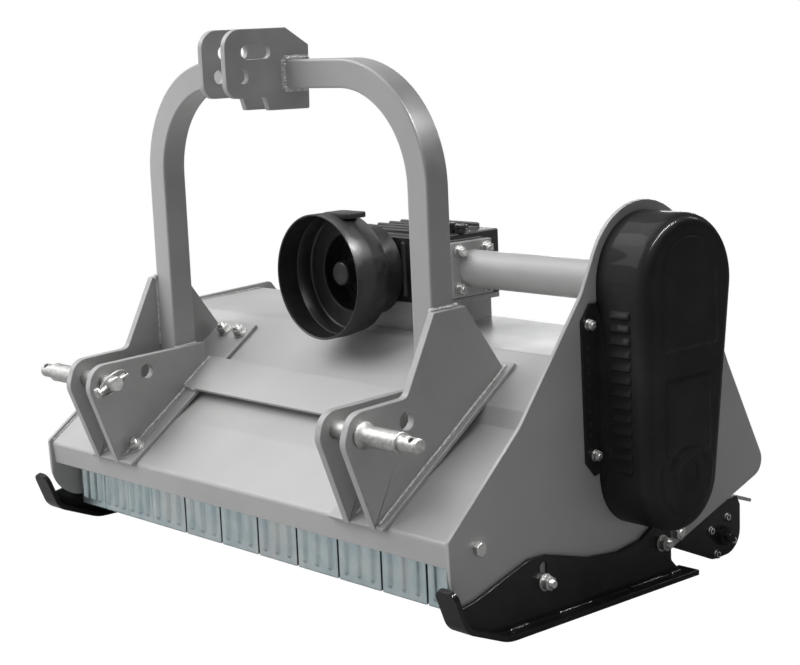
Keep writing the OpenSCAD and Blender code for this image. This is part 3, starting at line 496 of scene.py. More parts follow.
def bead(bm, path, radius, puddle=4.0, corners=8):
    """Adds a rippled bead along a list of points to bm, in drawing millimetres."""
    points = [Vector(p) for p in path]
    ring, last, travelled = None, None, 0.0
    for start, end in zip(points, points[1:]):
        along = (end - start).normalized()
        steps = max(2, round((end - start).length / (puddle / 3)))
        first = 0 if ring is None else 1
        for k in range(first, steps + 1):
            at = start.lerp(end, k / steps)
            phase = (travelled + k * (end - start).length / steps) / puddle
            swell = 0.82 + 0.26 * abs(math.sin(math.pi * phase)) + 0.06 * math.sin(phase * 1.7)
            place = ring_frame(at, along) @ Matrix.Scale(radius * swell, 4)
            if ring is None:
                made = bmesh.ops.create_circle(bm, cap_ends=True, segments=corners, radius=1, matrix=place)
                verts = made["verts"]
                ring = list({e for v in verts for e in v.link_edges})
            else:
                made = bmesh.ops.extrude_edge_only(bm, edges=ring)
                verts = [g for g in made["geom"] if isinstance(g, bmesh.types.BMVert)]
                ring = [g for g in made["geom"] if isinstance(g, bmesh.types.BMEdge)
                        and all(v in verts for v in g.verts)]
                bmesh.ops.transform(bm, matrix=place @ last.inverted(), verts=verts)
            last = place
        travelled += (end - start).length
    bmesh.ops.contextual_create(bm, geom=ring)


def beads(name, seams, material, body="chassis"):
    """One piece of several beads: each seam is a path and a radius."""
    bm = bmesh.new()
    for path, radius in seams:
        bead(bm, path, radius)
    return new_piece(name, bm, material, body, smooth_below=60)


MAST_IN, MAST_OUT = 278, 318
MAST_FRONT, MAST_BACK = -69, -29
HITCH_OUT = 330
PLATE_IN = 266
STRIP_TOP = 6.5


def mast_seams():
    """Seams between each mast leg, its hitch plates and the strip under them."""
    seams = []
    for side in (1, -1):
        outer, inner = side * (MAST_OUT - 1), side * (MAST_IN + 1)
        seams.append(([(side * MAST_OUT, -73, 407), (side * MAST_OUT, -24, 409)], 4.4))
        seams.append(([(outer, MAST_FRONT, 300), (outer, MAST_FRONT, 405)], 2.2))
        seams.append(([(inner, MAST_FRONT, 297), (inner, MAST_BACK, 300)], 3.2))
        for x, s0, s1 in ((PLATE_IN - 2, 6, 200), (PLATE_IN + 14, 8, 150), (HITCH_OUT + 2, 0, 296),
                          (MAST_OUT - 2, 4, 180)):
            seams.append(([on_slope(side * x, s0, STRIP_TOP), on_slope(side * x, s1, STRIP_TOP)], 2.6))
    return seams


def clevis_seams():
    """Seams round the mast tube where it meets each top link plate."""
    seams = []
    for side in (1, -1):
        x = side * 32.5
        corners = [(x, -69, 700), (x, -69, 740), (x, -29, 740), (x, -29, 700), (x, -69, 700)]
        seams.append((corners, 5.2))
        seams.append(([(x + side * 3, -70, 741), (x + side * 3, -48, 742), (x + side * 2, -28, 741)], 4.6))
    return seams


def crossbar_seams():
    """Seams at both ends of the flat bar across the deck."""
    seams = []
    for side in (1, -1):
        seams.append(([on_slope(side * 265, 155, 11), on_slope(side * 265, 220, 11)], 2.4))
        seams.append(([on_slope(side * 233, 153, 8), on_slope(side * 246, 153, 8)], 2.6))
    return seams


beads("mast_welds", mast_seams(), WELD)
beads("clevis_welds", clevis_seams(), WELD)
beads("crossbar_welds", crossbar_seams(), WELD)
print("weld beads on the hitch")

# %% Deck seams
def deck_seams():
    """Short seams that hold the deck to the side plates, inside and along the slope."""
    seams = []
    for x in (LEFT + SHEET + 1, RIGHT - SHEET - 1):
        seams.append(([on_slope(x, 4, 0.5), on_slope(x, 96, 0.5)], 1.6))
        seams.append(([(x, 90, 331.5), (x, 255, 337.5)], 1.8))
    return seams


beads("deck_welds", deck_seams(), WELD)


def skid_seams(side):
    """Stitch welds between a skid's web and its runner."""
    x = side * ((RIGHT if side > 0 else -LEFT) + 7.4)
    spans = ((-95, -62), (-2, 62), (140, 205), (226, 246))
    return [([(x, y0, 8.5), (x, y1, 8.5)], 2.6) for y0, y1 in spans]


beads("right_skid_welds", skid_seams(1), WELD_BLACK, "right_skid")
beads("left_skid_welds", skid_seams(-1), WELD_BLACK, "left_skid")
print("weld beads on deck and skids")

# %% [markdown]
# Fasteners are small, but they are the brightest things on the machine. Each one is a washer, a
# hexagon with rounded corners and the end of its bolt, turned from a stepped profile so that the
# thread shows as rings.

# %% Fasteners
def along_axis(at, axis):
    return ring_frame(Vector(at), Vector(axis).normalized())


def upright_bar(bm, place, radius, low, high, segments):
    """Adds a straight bar between two heights over a placing matrix and returns its corners."""
    middle = Matrix.Translation((0, 0, (low + high) / 2))
    made = bmesh.ops.create_cone(bm, cap_ends=True, segments=segments, radius1=radius, radius2=radius,
                                 depth=high - low, matrix=place @ middle)
    return made["verts"]


def round_off(bm, edges, width, segments=2):
    bmesh.ops.bevel(bm, geom=edges, offset=width, affect="EDGES", segments=segments, profile=0.5, material=-1)


def disc(bm, place, radius, low, high, segments=32, edge=0.5):
    """Flat round piece with slightly broken edges."""
    corners = upright_bar(bm, place, radius, low, high, segments)
    rim = [e for v in corners for e in v.link_edges if e.calc_face_angle(0) > 0.9]
    round_off(bm, list(set(rim)), edge)


def hexagon(bm, place, across, low, high):
    """Hexagon head or nut with its top corners rounded off."""
    corners = upright_bar(bm, place, across / math.sqrt(3), low, high, 6)
    edges = {e for v in corners for e in v.link_edges}
    round_off(bm, list(edges), across * 0.06)


def threaded_end(bm, place, radius, low, high, pitch=1.5):
    """Bolt end with thread rings, spun from a zigzag profile."""
    count = int((high - low - 1.2) / pitch)
    profile = [(0, low), (radius, low)]
    for k in range(count):
        profile += [(radius - 0.6, low + (k + 0.5) * pitch), (radius, low + (k + 1) * pitch)]
    profile += [(radius - 1.2, high), (0, high)]
    turned(bm, place, profile, 20)


def turned(bm, place, profile, steps=48):
    """Spins a profile of (radius, height) round the axis of a placing matrix."""
    verts = [bm.verts.new((r, 0, z)) for r, z in profile]
    edges = [bm.edges.new(pair) for pair in zip(verts, verts[1:])]
    made = bmesh.ops.spin(bm, geom=verts + edges, cent=(0, 0, 0), axis=(0, 0, 1), dvec=(0, 0, 0),
                          angle=math.tau, steps=steps, use_merge=True)
    seen = set(verts)
    for edge in edges:
        for face in edge.link_faces:
            walk = [face]
            while walk:
                here = walk.pop()
                fresh = [v for v in here.verts if v not in seen]
                seen.update(fresh)
                walk += [f for v in fresh for f in v.link_faces]
    bmesh.ops.transform(bm, matrix=place, verts=list(seen))
    return made


def bolt(bm, at, axis, thread, across, through, stub=5.0, washer=True):
    """Washer, nut and bolt end on a face, and the head on the far side, through mm away."""
    place = along_axis(at, axis)
    low = 0.02
    if washer:
        disc(bm, place, thread * 0.98, low, 2.2)
        low = 2.2
    height = thread * 0.78
    hexagon(bm, place, across, low, low + height)
    threaded_end(bm, place, thread / 2, low + height - 0.5, low + height + stub)
    disc(bm, place, thread / 2 - 0.1, -through - 1, low + 1, 20)
    hexagon(bm, place, across, -through - thread * 0.6, -through - 0.02)


def bolt_piece(name, fasteners, stands_for=()):
    bm = bmesh.new()
    for fastener in fasteners:
        bolt(bm, **fastener)
    return new_piece(name, bm, PLATED, "chassis", stands_for)


UP_SLOPE = (0, -math.sin(SLOPE), math.cos(SLOPE))
STRIP_BOLTS = ((251, 27), (251, 281), (292, 281))
bolt_piece("strip_bolts",
           [dict(at=on_slope(side * x, s, 6), axis=UP_SLOPE, thread=12, across=18, through=10.2)
            for side in (1, -1) for x, s in STRIP_BOLTS],
           ["hitch_bolts"])
COVER_BOLTS = ((72, 383), (79, 206))
FLANGE_BOLTS = [(CROSS_SHAFT_Y + dy, SHAFT_Z + dz) for dy in (-28, 28) for dz in (-28, 28)]
SKID_BOLTS = ((-27, 57), (208, 57))
ARM_BOLT_Y, ARM_BOLT_Z = 248, 62
bolt_piece("cover_and_flange_bolts",
           [dict(at=(RIGHT + 4, y, z), axis=(1, 0, 0), thread=8, across=13, through=10, stub=2)
            for y, z in COVER_BOLTS]
           + [dict(at=(132, y, z), axis=(1, 0, 0), thread=10, across=15, through=30, stub=1.2)
              for y, z in FLANGE_BOLTS],
           ["cover_bolts"])


def skid_fasteners(side):
    edge = RIGHT if side > 0 else LEFT
    out = edge + side * 6.8
    parts = [dict(at=(out, y, z), axis=(side, 0, 0), thread=12, across=18, through=13, stub=6)
             for y, z in SKID_BOLTS]
    parts.append(dict(at=(edge, ARM_BOLT_Y, ARM_BOLT_Z), axis=(side, 0, 0), thread=12, across=18,
                      through=12.8, stub=1, washer=False))
    return parts


bolt_piece("skid_and_arm_bolts", skid_fasteners(1) + skid_fasteners(-1), ["skid_bolts"])
print("fasteners done")

# %% [markdown]
# The lower hitch pins are turned from one bar: a flared collar against the plate, a thick barrel and
# a thinner end, each step with a small chamfer. The thin end is drilled across for a lynch pin. A spin
# of the half section gives the body, and the cross hole is cut by a Boolean with a round bar. The left
# pin has one more collar between its plates and is held by a lynch pin at its inner end.

# %% Hitch pins
PIN_Y, PIN_Z = -208, 267
PIN_START = {1: 252, -1: 234}
CROSS_HOLE_AT, CROSS_HOLE_TURN = 427, math.radians(35)
LYNCH_AT, LYNCH_TURN = 247, math.radians(112)
RING_RADIUS, WIRE_RADIUS = 26, 1.6


def cut_with(piece, cutter_bm, name):
    """Cuts a shape given as a bmesh in drawing millimetres out of a piece, for good."""
    bmesh.ops.recalc_face_normals(cutter_bm, faces=cutter_bm.faces)
    bmesh.ops.transform(cutter_bm, matrix=TO_SCENE, verts=cutter_bm.verts)
    data = bpy.data.meshes.new(name)
    cutter_bm.to_mesh(data)
    cutter_bm.free()
    cutter = bpy.data.objects.new(name, data)
    bpy.context.scene.collection.objects.link(cutter)
    cut = piece.modifiers.new("cut", "BOOLEAN")
    cut.object = cutter
    cut.solver = "EXACT"
    graph = bpy.context.evaluated_depsgraph_get()
    result = bpy.data.meshes.new_from_object(piece.evaluated_get(graph))
    piece.modifiers.remove(cut)
    piece.data = result
    bpy.data.objects.remove(cutter)
    result.set_sharp_from_angle(angle=math.radians(SHARP_IN_NEW_PIECES))
    return piece


def hitch_pin(side):
    bm = bmesh.new()
    place = along_axis((0, PIN_Y, PIN_Z), (side, 0, 0))
    start = PIN_START[side]
    shank = [(0, start), (10.2, start), (12, start + 2), (12, 330.02)]
    collar = [(18, 330.02), (18, 334), (16.2, 336.5), (14.4, 341.5)]
    barrel = [(14, 343), (14, 344), (14, 400.4), (14, 401.4), (14.3, 402), (14.3, 403.4), (13.6, 404)]
    end = [(11, 404.2), (11, 416.8), (10.5, 417.4), (10.5, 435), (8.8, 437), (0, 437)]
    profile = shank + collar + barrel + end
    turned(bm, place, profile, 64)
    if side < 0:
        turned(bm, place, [(11, 288), (11.6, 288), (13, 289.5), (13, 315), (11.6, 317.9), (11, 317.9)], 48)
    name = "right_lower_pin" if side > 0 else "left_lower_pin"
    node = "right_hitch_pin" if side > 0 else "left_hitch_pin"
    piece = new_piece(name, bm, PLATED, "chassis", [node])
    drill = bmesh.new()
    upright_bar(drill, Matrix.Translation((side * CROSS_HOLE_AT, PIN_Y, PIN_Z))
                @ Matrix.Rotation(CROSS_HOLE_TURN, 4, "X"), 4, -22, 22, 24)
    return cut_with(piece, drill, "drill")


hitch_pin(1)
hitch_pin(-1)


def lynch_pin(side, bm):
    """Pin with a cap head and a sprung wire ring that snaps round the end of the hitch pin."""
    place = (Matrix.Translation((side * LYNCH_AT, PIN_Y, PIN_Z)) @ Matrix.Diagonal((side, 1, 1, 1))
             @ Matrix.Rotation(LYNCH_TURN, 4, "X"))
    stem = [(0, -29), (3.2, -29), (4, -27), (4, 24.6)]
    cap = [(6.5, 25), (8.4, 26.2), (8.4, 29.5), (6.2, 31.9), (0, 32.6)]
    turned(bm, place, stem + cap, 32)
    turned(bm, place @ Matrix.Translation((0, 0, -RING_RADIUS)) @ QUARTER_Y,
           [(0, -3.4), (2.2, -3.4), (2.2, 3.4), (0, 3.4)], 16)
    wire = bmesh.new()
    start = Matrix.Translation((RING_RADIUS, 0, 0)) @ QUARTER_X
    bmesh.ops.create_circle(wire, segments=10, radius=WIRE_RADIUS, matrix=start)
    bmesh.ops.spin(wire, geom=wire.verts[:] + wire.edges[:], cent=(0, 0, 0), axis=(0, 0, 1), dvec=(0, 0, 0),
                   angle=math.tau, steps=48, use_merge=True)
    lean = Matrix.Rotation(math.radians(40), 4, "Z") @ QUARTER_Y
    bmesh.ops.transform(wire, matrix=place @ lean, verts=wire.verts)
    ring = bpy.data.meshes.new("ring")
    wire.to_mesh(ring)
    wire.free()
    bm.from_mesh(ring)


pins = bmesh.new()
lynch_pin(-1, pins)
new_piece("lynch_pin_with_ring", pins, PLATED, "chassis", ["lynch_pin"])
print("hitch pins done")

# %% [markdown]
# A flap is a piece of thin plated sheet: its top is rolled into an eye on the rod, and raised swages
# stiffen it. The sheet starts as a grid, the swages are raised by moving grid points along a smooth
# hump, and Solidify gives the sheet its thickness. Three plain upright swages stand on each flap. A
# dark strip in the gap to the next flap is painted shade for the dark inside of the deck.

# %% Front flaps
ROD_Y, ROD_Z = -140, 126
FLAP_REACH = 94
FLAPS = 11
FLAP_SHEET = 2.4
EYE, EYE_BORE = 8.6, 6.1
SWAGES = (-0.32, 0.0, 0.32)
SWAGE_HALF_WIDTH, SWAGE_RISE = 4.4, 4.8
EDGE_CURL, EDGE_CURL_WIDTH = 0.9, 3.0


def hump(distance, half_width):
    """Smooth hump: one in the middle, nothing past half_width."""
    t = min(1.0, abs(distance) / half_width)
    return (1 - t * t) ** 2


def flap(index):
    node = f"flap_{index:02d}"
    low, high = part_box(node)
    x0, x1 = (low.x - HITCH.x) / MM, (high.x - HITCH.x) / MM
    width = x1 - x0
    top, bottom = ROD_Z - 7, ROD_Z - FLAP_REACH + 0.2
    columns, rows = 110, 46
    bm = bmesh.new()
    place = (Matrix.Translation(((x0 + x1) / 2, ROD_Y, (top + bottom) / 2))
             @ QUARTER_X @ Matrix.Diagonal((width / 2 - 0.2, (top - bottom) / 2, 1, 1)))
    bmesh.ops.create_grid(bm, x_segments=columns, y_segments=rows, size=1, matrix=place)
    swage_low, swage_high = bottom + 13, top - 14
    for v in bm.verts:
        across = v.co.x - (x0 + x1) / 2
        beyond = max(0.0, swage_low - v.co.z, v.co.z - swage_high)
        rise = max(hump(math.hypot(across - share * width, beyond), SWAGE_HALF_WIDTH) for share in SWAGES)
        curl = max(0.0, 1 - (width / 2 - abs(across)) / EDGE_CURL_WIDTH)
        v.co.y += EDGE_CURL * curl * curl - SWAGE_RISE * rise
    piece = new_piece(node + "_sheet", bm, ZINC, node, [node], 50)
    thick = piece.modifiers.new("sheet", "SOLIDIFY")
    thick.thickness = FLAP_SHEET * MM
    thick.offset = 0
    eye = bmesh.new()
    eye_place = along_axis((x0 + 0.4, ROD_Y, ROD_Z), (1, 0, 0))
    roll = width - 0.8
    turned(eye, eye_place, [(EYE_BORE, 0), (EYE, 0), (EYE, roll), (EYE_BORE, roll), (EYE_BORE, 0)], 28)
    new_piece(node + "_eye", eye, ZINC, node)
    # Dark strip beside the flap: painted shade where the dark inside shows through the gap.
    painted_gap_shade = bmesh.new()
    beside = Matrix.Translation((x1 - 1.1, ROD_Y + 4.2, (top + bottom) / 2))
    bmesh.ops.create_cube(painted_gap_shade, size=1, matrix=beside @ Matrix.Diagonal((1.4, 7, top - bottom - 1, 1)))
    new_piece(node + "_edging", painted_gap_shade, RUBBER, node)
    return piece


for index in range(1, FLAPS + 1):
    flap(index)
print("flaps done")

# %% [markdown]
# The input guard is a stepped cup with a rolled rim. Its half section is drawn once and spun round
# the input shaft. The small strap on top is a bar with a rounded end.

# %% Input guard
def input_guard():
    bm = bmesh.new()
    place = along_axis((0, -2.4, SHAFT_Z), (0, 1, 0))
    outside = [(90, 1), (91, 0), (92.2, 0), (92.9, 1), (92.9, 34), (91.8, 36), (88.9, 62), (87, 64),
               (71, 66), (70, 68), (68, 109), (52.1, 109)]
    inside = [(52.1, 100.3), (64.8, 100.3), (66, 72), (57.4, 67), (57.2, 62.6), (58.4, 61.2), (84, 60.4),
              (86, 58.6), (88.6, 36.4), (89.8, 35.2), (90, 32), (90, 1)]
    turned(bm, place, outside + inside, 112)
    return new_piece("stepped_guard", bm, PLASTIC, "chassis", ["pto_guard"], 40)


def guard_strap():
    """Flat strap over the top of the guard with a rounded end."""
    bm = bmesh.new()
    place = Matrix.Translation((20, 40, SHAFT_Z + 89.5)) @ Matrix.Diagonal((56, 40, 8, 1))
    made = bmesh.ops.create_cube(bm, size=1, matrix=place)
    upright = [e for v in made["verts"] for e in v.link_edges
               if abs(e.verts[0].co.z - e.verts[1].co.z) > 5]
    round_off(bm, list(set(upright)), 7, 4)
    round_off(bm, [e for e in bm.edges if e.calc_face_angle(0) > 1.2], 1.2)
    return new_piece("guard_strap", bm, PLASTIC, "chassis")


def shaft_cap():
    """Transport cap over the splines of the input shaft."""
    bm = bmesh.new()
    nose = [(0, 0), (14.6, 0), (16.6, 0.6), (17.9, 2.2), (18.1, 5)]
    skirt = [(18.1, 44), (20.5, 45), (20.5, 50), (17.6, 50.5)]
    turned(bm, along_axis((0, 42, SHAFT_Z), (0, 1, 0)), nose + skirt, 56)
    return new_piece("spline_cap", bm, PLASTIC, "input_shaft", smooth_below=40)


input_guard()
guard_strap()
shaft_cap()
print("guard done")

# %% [markdown]
# Four button heads hold the bearing of the roller in each arm, and a big black nut closes its axle.

# %% Fasteners of the roller arms
ROLLER_Y, ROLLER_Z = 358, 32
ARM_FACE = {1: 455.6, -1: -473.6}
HEAD_CIRCLE = 28
BUTTON_HEAD = [(0, 1.4), (2.7, 1.4), (2.9, 3.7), (4.4, 3.6), (5.9, 2.6), (6.3, 1.0), (6.4, -0.5)]


def arm_fasteners(side):
    heads, nut = bmesh.new(), bmesh.new()
    for degrees in (64, 154, 244, 334):
        angle = math.radians(degrees)
        y, z = ROLLER_Y + HEAD_CIRCLE * math.cos(angle), ROLLER_Z + HEAD_CIRCLE * math.sin(angle)
        at = (ARM_FACE[side], y, z)
        turned(heads, along_axis(at, (side, 0, 0)), BUTTON_HEAD, 28)
        hexagon(nut, along_axis(at, (side, 0, 0)), 5, 0.9, 1.7)
    place = along_axis((ARM_FACE[side], ROLLER_Y, ROLLER_Z), (side, 0, 0))
    disc(nut, place, 14.5, 0.02, 1.6)
    hexagon(nut, place, 24.6, 1.4, 9.5)
    threaded_end(nut, place, 7.7, 9, 18.6, 2.0)
    arm = "right" if side > 0 else "left"
    new_piece(arm + "_arm_heads", heads, PLATED, "roller_frame")
    new_piece(arm + "_axle_nut", nut, COVER_BLACK, "roller_frame")


arm_fasteners(1)
arm_fasteners(-1)
print("arm fasteners done")

# %% [markdown]
# The belt cover is a deep pressing. A flat grid is bent into it: its columns run round the outline of
# two circles and their tangents, and its rows climb the wall, turn over the rounded rim and run in to
# the line between the two centres. On the face every point is raised by the pressed shapes that it
# lies in, which are given by their distances, so each step in the sheet is as soft as a real one.

# %% Belt cover
COVER_TOP, COVER_LOW = (186, 430, 93), (168, 172, 76)
COVER_DEPTH, COVER_PRESS = 86, 2.4
COVER_ROUND = 17
COVER_SHEET = 2.4
COVER_FOOT = RIGHT + 0.3
COVER_BASE = RIGHT + COVER_DEPTH - COVER_PRESS
WALL_ROWS, ROUND_ROWS, FACE_ROWS = 4, 8, 56
UPPER_PANEL = ((183.5, 445), (55.5, 100))
UPPER_ARCH_Z = 437
LOWER_PANEL = ((176.8, 253.5), (45.3, 51.5))
PANEL_CORNER, PANEL_STEP = 7, 3.2
BOSS_Y, BOSS_Z = 173.5, 173


def cover_tangent():
    """Direction between the circle centres and the angle from it to the tangent points."""
    (ty, tz, tr), (ly, lz, lr) = COVER_TOP, COVER_LOW
    return math.atan2(tz - lz, ty - ly), math.acos((lr - tr) / math.hypot(ty - ly, tz - lz))


def cover_columns(arc_steps=120, straight_steps=130):
    """For each column the spine point, the outward direction and the radius, as (y, z), (y, z), r."""
    lean, opening = cover_tangent()
    arcs = ((COVER_LOW, lean + opening, lean + math.tau - opening),
            (COVER_TOP, lean - opening, lean + opening))
    columns = []
    for (centre, a0, a1), (following, _, _) in zip(arcs, arcs[::-1]):
        for k in range(arc_steps + 1):
            angle = a0 + (a1 - a0) * k / arc_steps
            columns.append((Vector(centre[:2]), Vector((math.cos(angle), math.sin(angle))), centre[2]))
        outward = columns[-1][1]
        for k in range(1, straight_steps):
            share = k / straight_steps
            spine = Vector(centre[:2]).lerp(Vector(following[:2]), share)
            columns.append((spine, outward, centre[2] + (following[2] - centre[2]) * share))
    return columns + columns[:1]


def smooth(t):
    """Goes softly from 0 to 1 while t does."""
    t = min(1.0, max(0.0, t))
    return t * t * (3 - 2 * t)


def box_gap(y, z, middle, half, corner=PANEL_CORNER):
    """Distance of a point to a rectangle with rounded corners, negative inside."""
    qy, qz = abs(y - middle[0]) - half[0] + corner, abs(z - middle[1]) - half[1] + corner
    return math.hypot(max(qy, 0), max(qz, 0)) + min(max(qy, qz), 0) - corner


def pressed(y, z):
    """Height in mm of the pressed shapes over the plain face of the cover."""
    upper = box_gap(y, z, *UPPER_PANEL)
    if z > UPPER_ARCH_Z:
        (arch_y, _), (arch_r, _) = UPPER_PANEL
        upper = math.hypot(y - arch_y, z - UPPER_ARCH_Z) - arch_r
    lower = box_gap(y, z, *LOWER_PANEL)
    from_boss = math.hypot(y - BOSS_Y, z - BOSS_Z)
    dish = smooth((57 - from_boss) / 5) * smooth((203 - z) / 24)
    raised = 1.6 * max(smooth(0.5 - upper / PANEL_STEP), smooth(0.5 - lower / PANEL_STEP), dish,
                       smooth((38 - from_boss) / 5))
    arch = max(0.0, 1 - abs(from_boss - 40) / 3.2) * smooth((z - 186) / 12)
    return raised - 1.3 * arch - 1.8 * smooth((21.5 - from_boss) / 1.6)


def belt_cover():
    columns = cover_columns()
    wall_height = COVER_BASE - COVER_ROUND - COVER_FOOT
    rows = [(0.0, COVER_FOOT + wall_height * k / WALL_ROWS, 0.0) for k in range(WALL_ROWS)]
    for k in range(ROUND_ROWS + 1):
        angle = math.pi / 2 * k / ROUND_ROWS
        inset, drop = COVER_ROUND * (1 - math.cos(angle)), COVER_ROUND * (1 - math.sin(angle))
        rows.append((inset, COVER_BASE - drop, 0.0))
    rows += [(COVER_ROUND, COVER_BASE, k / FACE_ROWS) for k in range(1, FACE_ROWS + 1)]
    bm = bmesh.new()
    across, along = len(columns) - 1, len(rows) - 1
    bmesh.ops.create_grid(bm, x_segments=across, y_segments=along, size=1)
    for v in bm.verts:
        spine, outward, radius = columns[round((v.co.x + 1) / 2 * across)]
        inset, x, share = rows[round((v.co.y + 1) / 2 * along)]
        y, z = spine + outward * (radius - inset - (radius - inset) * share)
        v.co = (x + pressed(y, z) * smooth(share * 14), y, z)
    piece = new_piece("pressed_cover", bm, COVER_BLACK, "chassis", ["belt_cover"], 50)
    sheet = piece.modifiers.new("sheet", "SOLIDIFY")
    sheet.thickness = COVER_SHEET * MM
    sheet.offset = -1
    return piece


cover = belt_cover()
print("cover faces:", len(cover.data.polygons))

# %% [markdown]
# Thirteen louvres stand in the front wall of the cover. Each hood is a small grid that leaves the
# wall at its top, stands off furthest at its lower lip and closes round at both ends. A black strip
# on the wall under every lip is painted shadow.

# %% Louvres, lip and strip of the cover
LOUVRES = 13
LOUVRE_PITCH = 17.1
LOUVRE_LOWEST = 186
LOUVRE_X = (485, 520)
HOOD_HEIGHT, HOOD_REACH, HOOD_END = 10, 3.6, 5


def front_wall_y(z):
    """Y of the cover's flat front wall at a height."""
    lean, opening = cover_tangent()
    at = [Vector(c[:2]) + c[2] * Vector((math.cos(lean + opening), math.sin(lean + opening)))
          for c in (COVER_LOW, COVER_TOP)]
    return at[0].x + (at[1].x - at[0].x) * (z - at[0].y) / (at[1].y - at[0].y)


def louvres():
    hoods, shadow_strips = bmesh.new(), bmesh.new()
    x0, x1 = LOUVRE_X
    for k in range(LOUVRES):
        lip = LOUVRE_LOWEST + k * LOUVRE_PITCH
        place = Matrix.Translation(((x0 + x1) / 2, 0, lip + HOOD_HEIGHT / 2)) @ QUARTER_X
        made = bmesh.ops.create_grid(hoods, x_segments=28, y_segments=10, size=1,
                                     matrix=place @ Matrix.Diagonal(((x1 - x0) / 2, HOOD_HEIGHT / 2, 1, 1)))
        for v in made["verts"]:
            end = min(v.co.x - x0, x1 - v.co.x)
            rise = math.sqrt(max(0.0, 1 - (1 - min(1, end / HOOD_END)) ** 2))
            drop = (lip + HOOD_HEIGHT - v.co.z) / HOOD_HEIGHT
            v.co.y = front_wall_y(v.co.z) + 0.6 - HOOD_REACH * rise * smooth(drop) ** 0.8
        # A black strip on the wall under the lip: painted shadow.
        shadow_place = Matrix.Translation(((x0 + x1) / 2, front_wall_y(lip) - 0.1, lip - 0.6))
        bmesh.ops.create_cube(shadow_strips, size=1, matrix=shadow_place @ Matrix.Diagonal((x1 - x0 - 3, 0.8, 2.4, 1)))
    piece = new_piece("louvre_hoods", hoods, COVER_BLACK, "chassis", smooth_below=60)
    sheet = piece.modifiers.new("sheet", "SOLIDIFY")
    sheet.thickness = 1.0 * MM
    sheet.offset = -1
    new_piece("louvre_painted_shadows", shadow_strips, LIP_SHADOW_BLACK, "chassis")


def plate_from(outline, low, high, axis):
    """Plate between two values of X or Y from an outline of (y, z) or (x, z)."""
    bm = bmesh.new()
    spots = [(low, a, b) if axis == "X" else (a, low, b) for a, b in outline]
    for spot in spots:
        bmesh.ops.create_vert(bm, co=spot)
    bm.verts.ensure_lookup_table()
    ring = list(bm.verts)
    for pair in zip(ring, ring[1:] + ring[:1]):
        bmesh.ops.contextual_create(bm, geom=list(pair))
    face = bmesh.ops.contextual_create(bm, geom=bm.edges)["faces"]
    made = bmesh.ops.extrude_face_region(bm, geom=face)
    moved = [g for g in made["geom"] if isinstance(g, bmesh.types.BMVert)]
    bmesh.ops.translate(bm, vec=(high - low, 0, 0) if axis == "X" else (0, high - low, 0), verts=moved)
    return bm


louvres()
COVER_LIP = ((462.4, 411), (468.4, 393), (473.5, 374), (477, 348), (479, 321), (480, 294), (479.6, 267),
             (478.6, 240), (476.3, 212), (473.6, 190), (470.5, 175), (462.4, 166))
wall_y = front_wall_y(300)
lip_plate = plate_from(COVER_LIP, wall_y - 1.6, wall_y + 0.5, "Y")
soft_edges(new_piece("cover_lip", lip_plate, COVER_BLACK, "chassis"), 0.5)
STRIP = ((59.7, 388), (76.8, 410.5), (91, 409), (91.5, 200), (88, 180), (79.7, 177), (62.7, 197))
strip_plate = plate_from(STRIP, RIGHT + 0.02, RIGHT + 4, "X")
cover_strip = new_piece("cover_strip", strip_plate, COVER_BLACK, "chassis", ["cover_bracket"])
soft_edges(cover_strip, 0.6)
NIBS, NIB_PITCH, TOP_NIB_Z = 8, 17, 352.8
nibs = bmesh.new()
for k in range(NIBS):
    at = Matrix.Translation((RIGHT + 4.9, 72, TOP_NIB_Z - NIB_PITCH * k))
    bmesh.ops.create_cone(nibs, cap_ends=True, segments=3, radius1=4.6, radius2=1.6, depth=2.2,
                          matrix=at @ QUARTER_Y)
new_piece("strip_nibs", nibs, COVER_BLACK, "chassis")
print("louvres, lip and strip done")

# %% Light and floor
def soft_box(name, at, aim, size, power, gloss_only=False):
    """Soft light that points at a place. One for gloss only shows in shiny surfaces, and lights nothing."""
    lamp = bpy.data.lights.new(name, "AREA")
    lamp.shape = "RECTANGLE"
    lamp.size, lamp.size_y = size
    lamp.energy = power
    box = bpy.data.objects.new(name, lamp)
    bpy.context.scene.collection.objects.link(box)
    box.location = at
    box.rotation_euler = (Vector(aim) - Vector(at)).to_track_quat("-Z", "Y").to_euler()
    box.visible_diffuse = not gloss_only


soft_box("key_light", (-3.0, -2.6, 4.0), (0, 0, 0.3), (4.5, 3.6), 225)
soft_box("top_light", (-1.2, 0.0, 4.0), (0, 0, 0.2), (3.0, 3.0), 72)
soft_box("rim_light", (-2.2, 3.3, 0.95), (0.4, 0.1, 0.5), (1.6, 0.3), 24)
soft_box("strip_light", (2.15, 0.3, 3.0), (0.5, 0.18, 0.45), (3.4, 0.08), 380, gloss_only=True)
soft_box("side_light", (-4.0, -1.3, 0.35), (0, -0.3, 0.2), (1.0, 1.0), 26, gloss_only=True)
soft_box("back_light", (1.3, 3.0, 2.2), (0.2, 0, 0.5), (0.6, 0.8), 18, gloss_only=True)

# %% [markdown]
# The room is brighter on the side of the key light. Its strength follows the direction of each ray,
# from dim behind the belt cover to bright on the left in front. The camera sees plain white instead.

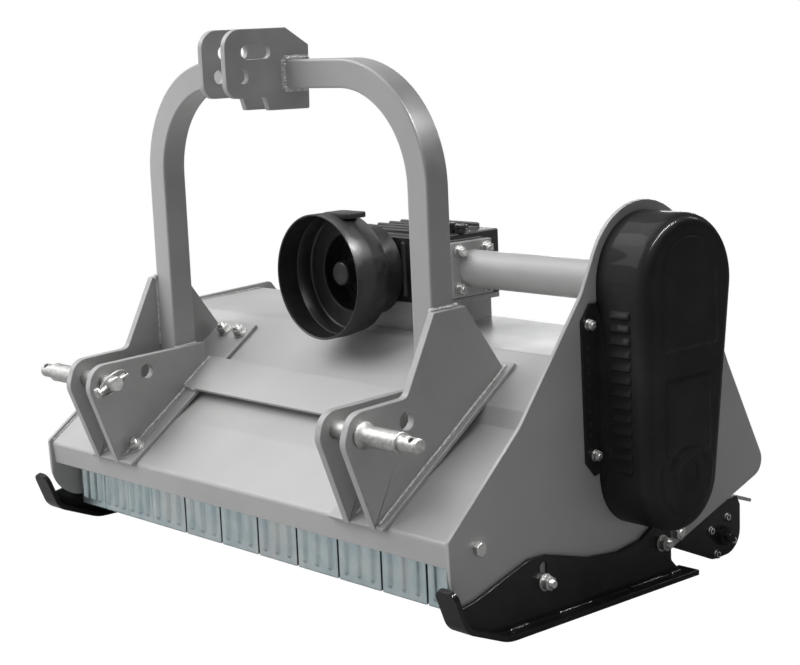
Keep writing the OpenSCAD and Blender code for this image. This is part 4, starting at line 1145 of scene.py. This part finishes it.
# %% Studio room and floor
def show_camera(tree, lit, shown_instead, output):
    """Lets one shader light the scene while the camera sees another."""
    choose = tree.nodes.new("ShaderNodeMixShader")
    ray = tree.nodes.new("ShaderNodeLightPath")
    for socket, source in zip(choose.inputs, (ray.outputs["Is Camera Ray"], lit, shown_instead)):
        tree.links.new(source, socket)
    tree.links.new(choose.outputs[0], tree.nodes[output].inputs["Surface"])


world = bpy.data.worlds.new("studio")
world.use_nodes = True
bpy.context.scene.world = world
tree = world.node_tree
room = tree.nodes["Background"]
room.inputs["Color"].default_value = (0.96, 0.98, 1.0, 1)
direction = tree.nodes.new("ShaderNodeTexCoord").outputs["Generated"]
towards = tree.nodes.new("ShaderNodeVectorMath")
towards.operation = "DOT_PRODUCT"
towards.inputs[1].default_value = Vector((-0.8, -0.6, 0.05)).normalized()
tree.links.new(direction, towards.inputs[0])
ramp = tree.nodes.new("ShaderNodeMapRange")
ramp.interpolation_type = "SMOOTHSTEP"
for key, number in (("From Min", -0.9), ("From Max", 0.9), ("To Min", 0.06), ("To Max", 0.55)):
    ramp.inputs[key].default_value = number
tree.links.new(towards.outputs["Value"], ramp.inputs["Value"])
tree.links.new(ramp.outputs[0], room.inputs["Strength"])
seen = tree.nodes.new("ShaderNodeBackground")
seen.inputs["Color"].default_value = (1, 1, 1, 1)
show_camera(tree, room.outputs[0], seen.outputs[0], "World Output")

FLOOR_HALF, FLOOR_DROP = 30, 0.0005
floor_bm = bmesh.new()
bmesh.ops.create_grid(floor_bm, x_segments=1, y_segments=1, size=FLOOR_HALF)
floor_data = bpy.data.meshes.new("floor")
floor_bm.to_mesh(floor_data)
floor_bm.free()
floor = bpy.data.objects.new("floor", floor_data)
bpy.context.scene.collection.objects.link(floor)
floor.location.z = -FLOOR_DROP
pale = Finish("pale_floor", (0.45, 0.45, 0.45), 0.9)
glow = pale.add("ShaderNodeEmission", Strength=1.0)
show_camera(pale.tree, pale.shader.outputs[0], glow.outputs[0], "Material Output")
floor_data.materials.append(pale.material)
bpy.context.scene.view_settings.view_transform = "Standard"
print("light and floor ready")
